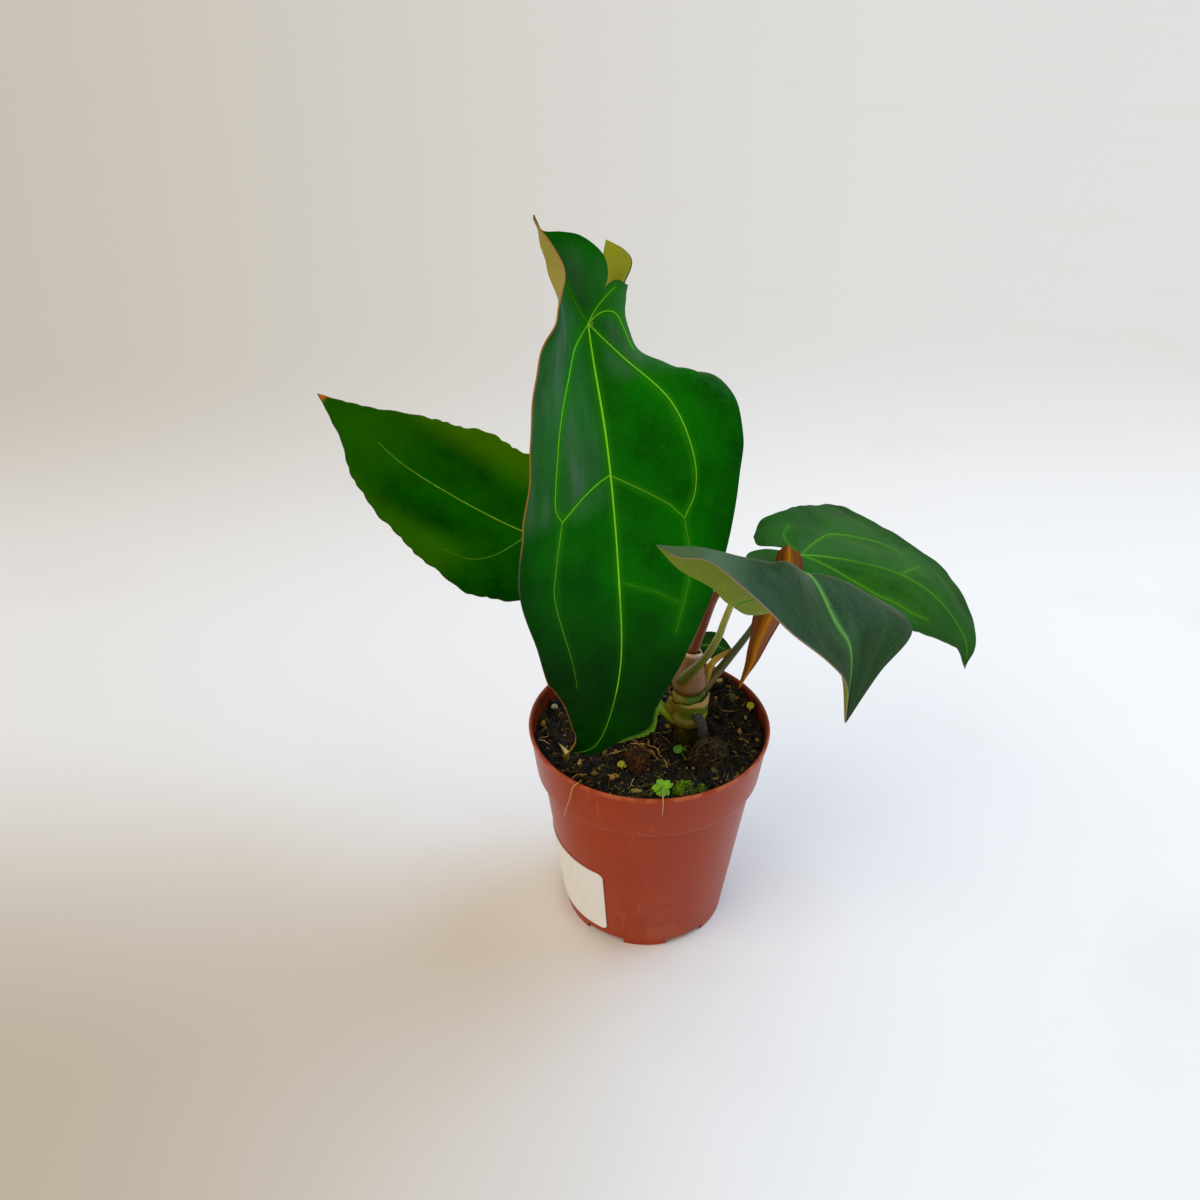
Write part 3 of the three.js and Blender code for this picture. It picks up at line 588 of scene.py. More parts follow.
# %% [markdown]
# The veins are drawn on the flat leaf. The blade sinks along them, so its outline stays where the solid
# model has it, and each vein is a fine tube that stands out of that groove; the strongest ones stand out of
# the underside too. Veins could be painted on, but then a low light would show a smooth sheet.

# %% Leaf relief
flat_map_size = 100


def with_veins(leaf, veins, groove, ripple, wave, scallop=0, grooved=None):
    """Gives a leaf its veins and its relief. The first `grooved` veins sink the blade, or all of them."""
    leaf.veins = veins
    leaf.vein_lines = [points for points, *_ in veins[:grooved]]
    leaf.groove, leaf.ripple, leaf.wave, leaf.scallop = groove, ripple, wave, scallop


def distance_to_lines(x, y, lines):
    """The distance from each flat point to the nearest of the lines."""
    nearest = np.full(len(x), 1e6)
    for line in lines:
        for (ax, ay), (bx, by) in zip(line[:-1], line[1:]):
            dx, dy = bx - ax, by - ay
            t = np.clip(((x - ax) * dx + (y - ay) * dy) / (dx * dx + dy * dy + 1e-9), 0, 1)
            nearest = np.minimum(nearest, np.hypot(x - ax - t * dx, y - ay - t * dy))
    return nearest


def relief(leaf, x, y, edge):
    """How far the blade stands out of its smooth sheet, in millimetres."""
    away = distance_to_lines(x, y, leaf.vein_lines)
    groove = np.exp(-((away / 5) ** 2))
    ripple = np.sin(0.45 * x + 1.3 * np.sin(0.17 * y)) * np.sin(0.33 * y + 0.9 * np.sin(0.3 * x))
    waves = leaf.wave * np.sin(0.35 * y + 0.8 * np.sin(0.11 * y)) * np.exp(-edge / 6)
    return leaf.groove * (leaf.ripple * ripple * (1 - groove) - groove) + waves * smoothstep(away, 0, 8)


def on_leaf(leaf, x, y, lift, edge=None):
    """Flat points placed on the leaf, raised from its relief by `lift` towards its upper side."""
    side_of = np.where(x >= 0, 1, -1)
    if len(leaf.sides) == 1:
        side_of = np.ones(len(x), int)
    edge = np.full(len(x), 20.0) if edge is None else edge
    places = np.zeros((len(x), 3))
    reach = 0.4
    for side in leaf.sides:
        here = side_of == side
        hx, hy = x[here], y[here]
        outward = leaf.place(side, hx + reach * side, hy) - leaf.place(side, hx, hy)
        tipward = leaf.place(side, hx, hy + reach) - leaf.place(side, hx, hy - reach)
        normal = unit(np.cross(outward, tipward)) * side
        raised = (lift[here] + relief(leaf, hx, hy, edge[here]))[:, None]
        places[here] = leaf.place(side, hx, hy) + raised * normal
    return places


def make_blade(leaf, name, rows, columns, thickness, finishes):
    """The blade of one leaf: a sheet for each half, joined at the midrib and given its thickness."""
    halves = []
    for side in leaf.sides:
        half, along, across = flat_grid(name, rows, columns)
        x, y, edge = leaf.grid(side, along, across if side > 0 else 1 - across)
        off_rib = np.where(np.abs(x) < 1e-6, side * 1e-6, x)
        set_points(half, on_leaf(leaf, off_rib, y, np.zeros(len(x)), edge) * MM)
        paint_flat(half, x / flat_map_size, y / flat_map_size)
        paint_points(half, "vein", distance_to_lines(x, y, leaf.vein_lines))
        paint_points(half, "edge", edge)
        halves.append(half)
    blade = merge(join(halves, name), 0.03, outward=False)
    for finish in finishes:
        blade.data.materials.append(finish)
    return modify(
        blade, "SOLIDIFY", thickness=thickness * MM, offset=0, material_offset=1, material_offset_rim=2,
        use_quality_normals=True,
    )


def make_veins(leaf, name):
    """Fine tubes along vein lines. Each line has flat points, a half width, an end share and a tone."""
    pieces = []
    step_length, sides, strong_tone, sunk = 1.6, 6, 0.75, 0.15
    for points, width, end_share, tone in leaf.veins:
        steps = max(4, int(distances(np.array(points, float))[-1] / step_length))
        path = even_points(curve_points(points, 80), steps)
        ahead = unit(np.gradient(path, axis=0))

        def form(along, round_share):
            station, ends = stations(along, steps)
            half = np.where(ends, 0, width * (1 + (end_share - 1) * station / steps))
            angle = 2 * np.pi * round_share
            x = path[station, 0] - ahead[station, 1] * half * np.cos(angle)
            y = path[station, 1] + ahead[station, 0] * half * np.cos(angle)
            height = 0.3 + 0.55 * half
            lowest = -height if tone > strong_tone else -sunk
            return on_leaf(leaf, x, y, np.where(ends, 0, np.maximum(height * np.sin(angle), lowest)))

        pieces.append(rolled(name, steps, sides, form, 0.002, tone))
    return join(pieces, name)

# %% [markdown]
# The front leaf hangs with its face to the viewer. One basal lobe rolls back and shows its pale underside,
# the other ends in a small ear. Five main veins leave the petiole; the inner pair is strong.

# %% Front leaf shape
front_leaf = BentLeaf(
    spine=[
        (-25, 0, 274), (-22.6, -12, 242.6), (-16.5, -30, 210), (-12.8, -34, 169),
        (-11.8, -31, 130), (-18.5, -24, 95), (-28.5, -20, 85.5), (-33.5, -16, 87),
    ],
    facing=(0, -1, 0.25),
    turn_width=10,
    bend=[
        (-30, 0, (-125, 18), (85, 12)),
        (-19, 0, (-125, 17), (118, 11)),
        (-8, 0, (-120, 12.2), (95, 7)),
        (2, 0, (-110, 12), (82, 4)),
        (12, 0, (-92, 15.5), (68, 3)),
        (22, 0, (-60, 31), (56, 2)),
        (38, 0, (-25, 37), (45, 2)),
        (72, 0, (8, 2), (22, 2)),
        (120, 0, (6, 2), (8, 2)),
        (160, 0, (5, 2), (5, 2)),
        (174, -100, (5, 2), (5, 2)),
    ],
    right=(
        [(0, 0), (-4, -7), (-7, -13), (-6, -19.5), (0, -25), (6, -26.5), (12, -27), (18, -31)],
        [
            (18, -31), (23, -20), (27, -6), (28, 12), (30, 36), (32, 68),
            (32, 82), (28, 103), (24, 125), (15, 145), (10, 156),
        ],
    ),
    left=(
        [(0, 0), (4, -8), (9, -12), (13.5, -10.5), (18.5, -11), (24, -19), (38, -25)],
        [
            (38, -25), (40, -15), (41, 0), (40, 20), (40.5, 41), (36, 62),
            (29, 86), (22, 106), (15, 128), (15, 139), (5, 153),
        ],
    ),
)
with_veins(front_leaf, [
    ([(0, 0), (0, 30), (0, 60), (0, 88)], 0.31, 0.9, 1.0),
    ([(0, 87), (0, 108), (0, 130)], 0.28, 0.9, 0.7),
    ([(0, 129), (0, 150), (0, 170)], 0.25, 0.4, 0.4),
    ([(0, 0), (10.6, 15.8), (17.6, 32.4), (19.8, 50), (17.4, 56.6)], 0.24, 0.7, 0.7),
    ([(0, 45.8), (10, 51), (17.4, 56.6)], 0.24, 0.9, 0.75),
    ([(17.4, 56.6), (20, 74), (20.5, 88), (13.2, 130)], 0.24, 0.4, 0.4),
    ([(0, 0), (-9.4, 12.3), (-20.3, 26.4), (-25.1, 41), (-25.2, 53), (-21.3, 61.4)], 0.3, 0.6, 0.8),
    ([(0, 46), (-15.3, 55.6), (-21.3, 61.4)], 0.22, 0.9, 0.5),
    ([(-21.3, 61.4), (-22.4, 78), (-17.5, 101)], 0.22, 0.4, 0.3),
    ([(0, 82.3), (-11.2, 85.5), (-18.3, 88.8)], 0.18, 0.5, 0.2),
    ([(0, 0), (-3.2, -2.4), (-6.4, -3), (-9.2, -1.5), (-11.4, 4), (-13, 9.5)], 0.28, 0.3, 0.8),
    ([(0, 0), (2.6, -5), (6, -13.5)], 0.24, 0.4, 0.25),
    ([(0, 0), (-2, -3), (-4.8, -6.2), (-9, -10)], 0.26, 0.4, 0.8),
], groove=0.9, ripple=0.45, wave=0.15)
print("front leaf length in mm:", round(front_leaf.length, 1))

# %% [markdown]
# The two back leaves spread to the sides. They are nearly flat, with an edge that waves more.

# %% Back leaf shapes
left_back_leaf = BentLeaf(
    spine=[
        (-22, 16, 138), (-40, 22, 150), (-56, 27, 156), (-73, 33, 163),
        (-91, 40, 172), (-106, 46, 184), (-121, 49, 195),
    ],
    facing=(0.35, -0.45, 0.82),
    turn_width=10,
    bend=[
        (-20, 0, (20, 0), (20, 0)),
        (0, 0, (14, 0), (14, 0)),
        (40, 0, (12, 0), (12, 0)),
        (105, 0, (10, 0), (10, 0)),
    ],
    right=(
        [(0, 0), (2, -8), (8, -20), (18, -26)],
        [(18, -26), (28, -15), (32, 2), (29, 22), (30, 37), (26, 50), (20, 66), (10, 78), (3, 91)],
    ),
    left=(
        [(0, 0), (2, -8), (10, -21), (20, -22)],
        [
            (20, -22), (32, -8), (39, 2), (40, 14), (37, 25),
            (33, 37), (27, 53), (18, 71), (10, 82),
        ],
    ),
)
with_veins(left_back_leaf, [
    ([(0, 0), (0, 25), (0, 50), (0, 70)], 0.3, 0.3, 0.9),
    ([(0, 5), (-16, 10.3), (-24.9, 17.1), (-26.7, 26.3)], 0.24, 0.3, 0.6),
    ([(0, 3), (8, 3.5), (14, 9), (21, 22)], 0.22, 0.4, 0.1),
    ([(0, 0), (6, -8), (14, -17)], 0.2, 0.4, 0.1),
    ([(0, 0), (-7, -7), (-17, -13)], 0.2, 0.4, 0.1),
], groove=0.4, ripple=0.4, wave=0.4, scallop=0.4)

right_back_leaf = BentLeaf(
    spine=[
        (36, 12, 148), (53, 15, 149), (72, 20, 144), (92, 22, 137),
        (107.5, 21, 126.5), (119, 18, 111), (119.5, 14, 100),
    ],
    facing=(0.2, -0.5, 0.85),
    turn_width=12,
    bend=[
        (-20, 0, (-10, 0), (-10, 0)),
        (0, 0, (-10, 0), (-10, 0)),
        (40, 0, (-25, 0), (-25, 0)),
        (105, 0, (-10, 0), (-10, 0)),
    ],
    right=(
        [(0, 0), (-2.2, -6), (-4.2, -13), (-3, -19), (3, -22)],
        [
            (3, -22), (12, -20.5), (20, -15), (26, 0), (26, 20),
            (23, 40), (16, 59), (12, 69), (4, 84),
        ],
    ),
    left=(
        [(0, 0), (4, -6), (6, -14), (10, -15)],
        [
            (10, -15), (17, -10), (21, 0), (27, 14), (33, 26),
            (30, 36), (25, 46), (19.5, 62), (11, 76), (3, 86),
        ],
    ),
)
with_veins(right_back_leaf, [
    ([(0, 0), (0, 30), (0, 60), (0, 88)], 0.26, 0.5, 0.95),
    ([(0, 0), (-7.5, 9), (-13.6, 18.2), (-17.3, 36.2), (-15, 45)], 0.18, 0.4, 0.6),
    ([(0, 42), (-4.8, 45.4), (-12.1, 51.2)], 0.15, 0.6, 0.4),
    ([(0, 0), (6.9, 20.6), (10.5, 34.2), (11, 52.7), (8.7, 62.5)], 0.18, 0.3, 0.6),
    ([(0, 0), (-5.4, -3.4), (-9.6, -4), (-14.3, -0.6)], 0.16, 0.4, 0.3),
    ([(0, 0), (6, -4), (11, -8)], 0.2, 0.4, 0.4),
], groove=0.9, ripple=0.4, wave=0.2, scallop=0.15)
print("back leaves:", round(left_back_leaf.length, 1), round(right_back_leaf.length, 1))

# %% [markdown]
# The right front leaf arches over the stem towards the viewer, and the young orange leaf hangs folded.

# %% Netted leaf shapes
right_front_leaf = NetLeaf(
    width=34,
    length=95,
    right=[
        [(-3, -65, 197)] * 3,
        [(4, -61, 187), (2, -66, 197), (3, -70, 196)],
        [(14, -56, 178), (10, -67, 197), (11, -74, 197)],
        [(21, -52, 170), (20, -66, 194), (20, -77, 191)],
        [(32, -50, 173), (29, -64, 191), (27, -81, 186)],
        [(42, -54, 182), (35, -67, 190), (34, -84, 180)],
        [(49, -68, 174), (43, -80, 176), (44, -87, 173)],
        [(53, -76, 168), (49, -83, 167), (50, -87, 165)],
        [(52, -83, 149)] * 3,
    ],
    left=[
        [(26, -36, 165)] * 3,
        [(23, -43, 167), (26, -37, 164), (30, -31, 162)],
        [(21, -48, 169), (27, -41, 163), (37, -27, 160)],
        [(21, -52, 170), (29, -44, 161), (44, -25, 158)],
        [(32, -50, 173), (38, -43, 163), (52, -30, 161)],
        [(42, -54, 182), (50, -50, 178), (64, -42, 167)],
        [(49, -68, 174), (60, -62, 174), (74, -59, 166)],
        [(53, -76, 168), (57, -74.5, 164.5), (62, -74, 160)],
        [(52, -83, 149)] * 3,
    ],
)
with_veins(right_front_leaf, [
    ([(0, 36), (0, 50), (0, 66), (0, 80), (0, 92)], 0.6, 0.5, 0.8),
    ([(0.5, 37), (10, 30), (20, 20)], 0.2, 0.4, 0.2),
    ([(0.5, 38), (16, 52), (23.5, 65.5), (14.3, 74)], 0.16, 0.4, 0.1),
    ([(-0.5, 38), (-10, 48), (-24, 66), (-20, 76)], 0.16, 0.4, 0.15),
    ([(-0.5, 36), (-12, 30), (-22, 22)], 0.2, 0.4, 0.2),
    ([(0, 56), (9, 60), (20, 64)], 0.14, 0.5, 0.1),
    ([(0, 68), (-10, 70), (-22, 75)], 0.14, 0.5, 0.1),
], groove=0.4, ripple=0, wave=0.1, grooved=1)

new_leaf = NetLeaf(
    width=14,
    length=62,
    right=[
        [(44, -7, 165)] * 3,
        [(41, -7, 162), (44, -10, 162), (49, -6, 160)],
        [(41, -6, 155), (44, -11, 156), (50, -5, 152)],
        [(39, -6, 147), (42, -12, 150), (48, -5, 145)],
        [(35, -6, 137), (39, -12, 139), (45, -5, 135)],
        [(34, -7, 127), (36, -11, 128), (41, -6, 126)],
        [(33, -8, 118), (35, -9, 118), (37, -8, 118)],
        [(31, -9, 107)] * 3,
    ],
)
with_veins(new_leaf, [([(7, 2), (7, 20), (7, 40), (7, 60)], 0.5, 0.4, 1.0)], groove=0.25, ripple=0, wave=0.2)

small_leaf = NetLeaf(
    width=9,
    length=16,
    right=[
        [(19, 20, 106)] * 3,
        [(20, 21, 111), (20, 19, 107), (21, 18, 103)],
        [(25, 22, 111), (25, 19, 107), (25, 17, 102)],
        [(29, 21, 108), (29, 19, 105), (29, 18, 102)],
        [(33, 20, 102)] * 3,
    ],
)
with_veins(small_leaf, [([(4.5, 0.5), (4.5, 8), (4.5, 15)], 0.25, 0.4, 0.8)], groove=0.2, ripple=0, wave=0.1)
print("netted leaves are ready")

# %% [markdown]
# The blade is dark, saturated green. It is a little lighter beside its veins and painted darker in the
# middle of each panel, as the shade of its quilting, and where skylight grazes it, soft grey streaks of
# painted sheen stand for that light. A thin line runs round the edge.
# The underside is paler and duller. Local colours, painted shade and painted sheen, such as the painted
# shade on the dark lower third of the front leaf, are spots: a side of the blade, a range of x and y on the
# flat leaf, a softness, a colour and a share.

# %% Leaf finishes
def window(finish, flat, xs, ys, soft):
    """1 inside a range of x and y in millimetres on the flat leaf, and 0 outside it."""
    share = 1
    for axis, (low, high) in (("X", xs), ("Y", ys)):
        place = finish.part(flat, axis)
        rise = finish.step(place, (low - soft) / flat_map_size, (low + soft) / flat_map_size)
        fall = finish.step(place, (high - soft) / flat_map_size, (high + soft) / flat_map_size)
        share = (1 - fall) * (rise * share)
    return share


def with_spots(finish, flat, colour, side, spots):
    return finish.coats(colour, *(
        (window(finish, flat, xs, ys, soft) * share, shade)
        for spot_side, xs, ys, soft, shade, share in spots if spot_side == side
    ))


def leaf_finishes(name, colours, spots=(), painted_sheen_zones=(), halo=(3.2, 0.4), gloss=0.05):
    """The upper side, the underside and the rim of one leaf, with grey streaks of painted sheen over the
    given ranges.
    """
    deep, fresh, glow, under, painted_sheen, right_rim, left_rim = colours
    cell_scale = 34

    def rim_of(finish, flat):
        half = finish.step(finish.part(flat, "X"), -0.02, 0.02)
        return with_spots(finish, flat, finish.mix(half, left_rim, right_rim), "rim", spots)

    top = Finish(name + "_upper_side", 0.42, gloss)
    flat = top.flat()
    vein, edge = top.painted("vein"), top.painted("edge")
    patches = top.step(top.noise(flat, 7, 3), 0.35, 0.7)
    mottle = top.step(top.noise(flat, 30, 3, 0.6), 0.45, 0.7)
    near_vein = 1 - top.step(vein, 0, halo[0])
    net = 1 - top.step(top.cells(flat, cell_scale), 0.0, 0.1)
    grain = top.noise(flat, 260, 1)
    streaks = top.step(top.noise(top.stretched(flat, (9, 1.6, 1)), 1.0, 3, 0.6), 0.4, 0.7)
    # Painted shade: the blade is painted darker away from its veins, for the shade of its quilting.
    colour = top.coats(
        top.mix(patches * 0.45 + top.step(vein, 1.5, 14) * 0.4, fresh, deep),
        (mottle * 0.25, fresh),
        ((1 - top.step(edge, 0, 8)) * 0.3, deep),
        (near_vein * near_vein * halo[1], glow),
        (net * 0.06 + top.step(grain, 0.55, 0.8) * 0.08, glow),
    )
    # Painted sheen: grey streaks over the given ranges stand for skylight grazing the blade.
    for xs, ys, soft, share in painted_sheen_zones:
        grey = window(top, flat, xs, ys, soft) * (0.25 + streaks * 0.75) * share
        colour = top.mix(grey * (1 - near_vein * 0.8), colour, painted_sheen)
    colour = with_spots(top, flat, colour, "upper", spots)
    relief_height = top.cells(flat, cell_scale) * 0.2 + grain * 0.12 + mottle * 0.2 + patches * 0.3
    colour = top.mix((1 - top.step(edge, 0.1, 0.4)) * 0.7, colour, rim_of(top, flat))
    upper = top.use(colour, relief_height, 0.0004, 0.4, roughness=0.42 + grain * 0.1)

    back = Finish(name + "_underside", 0.55, 0.15)
    flat = back.flat()
    patches = back.noise(flat, 9, 3)
    net = 1 - back.step(back.cells(flat, cell_scale), 0.0, 0.1)
    vein = 1 - back.step(back.painted("vein"), 0, 1.6)
    colour = back.mix(patches, brighter(under, 0.72), under)
    colour = back.mix(net * 0.15 + vein * 0.5, colour, brighter(under, 1.5))
    colour = with_spots(back, flat, colour, "under", spots)
    colour = back.mix((1 - back.step(back.painted("edge"), 0.2, 0.6)) * 0.7, colour, rim_of(back, flat))
    lower = back.use(colour, net + patches * 0.4, 0.0003, 0.4)

    band = Finish(name + "_rim", 0.5, 0.15)
    wear = band.noise(band.place(), 300, 2)
    tone = rim_of(band, band.flat())
    return upper, lower, band.use(band.mix(wear * 0.5, tone, (60, 50, 20)))


def vein_finish(name, strong, faint):
    """Veins are lighter than the blade. A faint one is nearly the blade's own green."""
    skin = Finish(name, 0.45, 0.15)
    speckle = skin.noise(skin.place(), 420, 2)
    tone = skin.painted("tone")
    colour = skin.mix(tone, faint, strong)
    paler = skin.mix(skin.step(speckle, 0.5, 0.75) * tone * 0.25, colour, (176, 210, 90))
    return skin.use(paler, speckle, 0.0001, 0.4)


everywhere = (-60, 60)
# The seven colours of a leaf: deep, fresh, beside its veins, underside, painted sheen, right rim and left
# rim.
front_finishes = leaf_finishes(
    "front_leaf",
    [(0, 62, 0), (6, 106, 0), (48, 146, 8), (158, 152, 58), (80, 110, 88), (168, 112, 36), (20, 62, 44)],
    spots=[
        # Painted shade on the lower third of the leaf.
        ("upper", everywhere, (100, 200), 28, (3, 30, 2), 0.8),
        ("upper", (12, 60), (70, 200), 8, (4, 40, 4), 0.4),
        ("upper", (-60, -14.4), (130, 150), 0.8, (60, 118, 14), 0.4),
        ("under", (-60, -13), (-30, -2), 3, (140, 152, 10), 0.95),
        ("under", (-19, -10), (-30, -2), 3, (196, 216, 130), 0.8),
        ("under", everywhere, (160, 190), 2, (176, 192, 112), 0.9),
        ("rim", (0, 60), (62, 118), 6, (40, 62, 84), 0.8),
    ],
    painted_sheen_zones=[((2, 60), (-20, 55), 6, 0.8), ((-24, -4), (-18, 16), 5, 0.75)],
    halo=(3.0, 0.4), gloss=0.03,
)
left_back_finishes = leaf_finishes(
    "left_back_leaf",
    [(0, 44, 0), (14, 76, 0), (34, 92, 0), (96, 120, 50), (60, 88, 30), (90, 112, 6), (20, 62, 20)],
    spots=[
        ("upper", everywhere, (62, 120), 14, (36, 88, 0), 0.6),
        ("upper", (19, 60), (-30, 80), 7, (66, 108, 0), 0.6),
        ("upper", (-60, -22), (20, 90), 7, (56, 104, 0), 0.5),
        ("upper", everywhere, (94.5, 120), 1.2, (190, 90, 20), 1.0),
    ],
    halo=(1.6, 0.3), gloss=0.0,
)
right_back_finishes = leaf_finishes(
    "right_back_leaf",
    [(4, 50, 2), (30, 98, 8), (80, 160, 24), (140, 150, 50), (84, 116, 76), (92, 96, 40), (36, 84, 60)],
    spots=[
        ("upper", everywhere, (62, 120), 12, (34, 76, 36), 0.5),
        ("upper", everywhere, (90.6, 120), 0.8, (176, 96, 76), 0.9),
    ],
    painted_sheen_zones=[(everywhere, (-30, 90), 6, 0.3)], halo=(1.6, 0.4),
)
right_front_finishes = leaf_finishes(
    "right_front_leaf",
    [(6, 36, 10), (24, 68, 26), (92, 154, 66), (120, 140, 24), (80, 106, 78), (150, 130, 110), (40, 80, 60)],
    # The spot is a painted sheen on the basal lobe of the right half.
    spots=[("upper", (2, 60), (-10, 36), 9, (92, 122, 90), 0.5)],
    painted_sheen_zones=[(everywhere, (-30, 120), 6, 0.34)], halo=(3.4, 0.85), gloss=0.1,
)
small_finishes = leaf_finishes(
    "small_leaf",
    [(16, 58, 14), (36, 84, 24), (60, 106, 40), (92, 118, 60), (84, 112, 90), (60, 50, 34), (60, 50, 34)],
)
bright_vein = vein_finish("bright_vein", (132, 222, 30), (16, 92, 2))
soft_vein = vein_finish("soft_vein", (124, 204, 40), (30, 96, 14))
dark_vein = vein_finish("dark_vein", (112, 156, 20), (10, 62, 0))
blue_vein = vein_finish("bluish_vein", (112, 176, 76), (26, 74, 32))
young_vein = vein_finish("young_vein", (190, 124, 20), (150, 70, 30))
print("leaf finishes are mixed")

# %% [markdown]
# The young leaf is still orange-brown with magenta edges and a yellowish keel. Its upper side is folded in.

# %% Young leaf finish
def young_finishes():
    """The inside, the outside and the rim of the young leaf."""
    fold = Finish("young_leaf_inside", 0.6, 0.1)
    streaks = fold.noise(fold.stretched(fold.flat(), (60, 6, 1)), 1.0, 3)
    inside = fold.use(fold.mix(streaks, (122, 56, 18), (176, 98, 34)))
    young = Finish("young_leaf_outside", 0.6, 0.08)
    streaks = young.noise(young.stretched(young.flat(), (60, 6, 1)), 1.0, 3)
    colour = young.coats(
        young.mix(streaks, (66, 33, 0), (138, 78, 0)),
        ((1 - young.step(young.painted("vein"), 0, 3.2)) * 0.7, (178, 114, 4)),
        ((1 - young.step(young.painted("edge"), 0.3, 1.5)) * 0.85, (112, 20, 40)),
    )
    outside = young.use(colour, streaks, 0.0003, 0.5)
    hem = Finish("young_leaf_rim", 0.45, 0.25)
    wear = hem.noise(hem.place(), 400, 1)
    return inside, outside, hem.use(hem.mix(wear, (120, 24, 44), (176, 60, 60)))

# %% [markdown]
# Petioles and stem share a smooth skin with fine lengthwise lines. Each petiole changes colour on its way
# from its swollen foot to the blade, so the colours sit on a ramp along the tube's own map.

# %% Petiole finish
def petiole_finish(name, *stops):
    skin = Finish(name, 0.4, 0.4)
    flat = skin.flat()
    lines = skin.noise(skin.stretched(flat, (26, 3, 1)), 1.0, 3, 0.6)
    specks = skin.step(skin.noise(skin.place(), 900, 1), 0.66, 0.72)
    tone = skin.coats(
        skin.ramp(skin.part(flat, "Y"), *stops),
        (skin.step(lines, 0.5, 0.8) * 0.25, (186, 170, 84)),
        ((1 - skin.step(lines, 0.2, 0.5)) * 0.35, (60, 36, 12)),
        (specks * 0.35, (80, 50, 24)),
    )
    return skin.use(tone, lines, 0.0003, 0.5)


petiole_green = petiole_finish(
    "green_petiole", (0.0, (120, 112, 30)), (0.3, (96, 110, 30)), (1.0, (112, 134, 40)),
)
petiole_bright = petiole_finish(
    "bright_petiole", (0.0, (130, 150, 16)), (0.3, (120, 164, 14)), (1.0, (56, 112, 20)),
)
petiole_olive = petiole_finish(
    "olive_petiole", (0.0, (124, 86, 50)), (0.1, (116, 82, 36)), (0.2, (72, 74, 8)),
    (0.4, (94, 104, 26)), (1.0, (150, 152, 40)),
)
petiole_ochre = petiole_finish(
    "ochre_petiole", (0.0, (110, 104, 20)), (0.16, (84, 88, 20)), (0.28, (96, 86, 24)),
    (0.4, (50, 68, 24)), (1.0, (70, 98, 36)),
)
petiole_red = petiole_finish(
    "red_petiole", (0.0, (130, 80, 50)), (0.3, (112, 48, 18)), (1.0, (116, 50, 18)),
)
papery_strip = petiole_finish(
    "papery_strip", (0.0, (110, 96, 16)), (0.5, (186, 152, 30)), (1.0, (150, 104, 44)),
)
print("petiole finishes are mixed")

# %% [markdown]
# The front leaf's margin is torn near its tip. A narrow band runs along it there, set into the blade, and
# its outer edge goes in and out as small uneven teeth of fresher green.

# %% Torn margin
torn_from, torn_to = 129, 151


def torn_form(along, across):
    """A band along the left margin of the front leaf, between two distances from its petiole."""
    side = -1
    margin = front_leaf.margin(side)
    torn = margin[(margin[:, 1] > torn_from) & (margin[:, 1] < torn_to)]
    spot = at_shares(torn, along, np.linspace(0, 1, len(torn)))
    teeth = np.abs(np.sin(23 * along + 2 * np.sin(11 * along)))
    fade = np.sqrt(np.sin(np.pi * np.clip(along, 0.001, 0.999)))
    x = side * (spot[:, 0] + fade * (across * (1.5 + 1.2 * teeth) - 1.4))
    return on_leaf(front_leaf, x, spot[:, 1], np.full(len(x), 0.1), np.zeros(len(x)))


def torn_finish():
    skin = Finish("torn_margin", 0.5, 0.15)
    cloud = skin.noise(skin.place(), 500, 3)
    outward = skin.step(skin.part(skin.flat(), "X"), 0.0, 0.8)
    tone = skin.coats(skin.mix(outward, (6, 44, 3), (80, 124, 12)), (cloud * 0.4, (40, 84, 8)))
    return skin.use(tone, cloud, 0.0002, 0.4)


torn_margin = sheet("torn_margin", 90, 4, torn_form, mapped=True, thickness=0.5)
torn_margin.data.materials.append(torn_finish())
print("torn margin has faces:", len(torn_margin.data.polygons))

# %% [markdown]
# Each leaf is built as one piece: petiole and blade together, as it grew. The veins are a second piece, in
# a lighter green. A pale papery strip, left of an old bract, grew along the foot of the right back petiole.

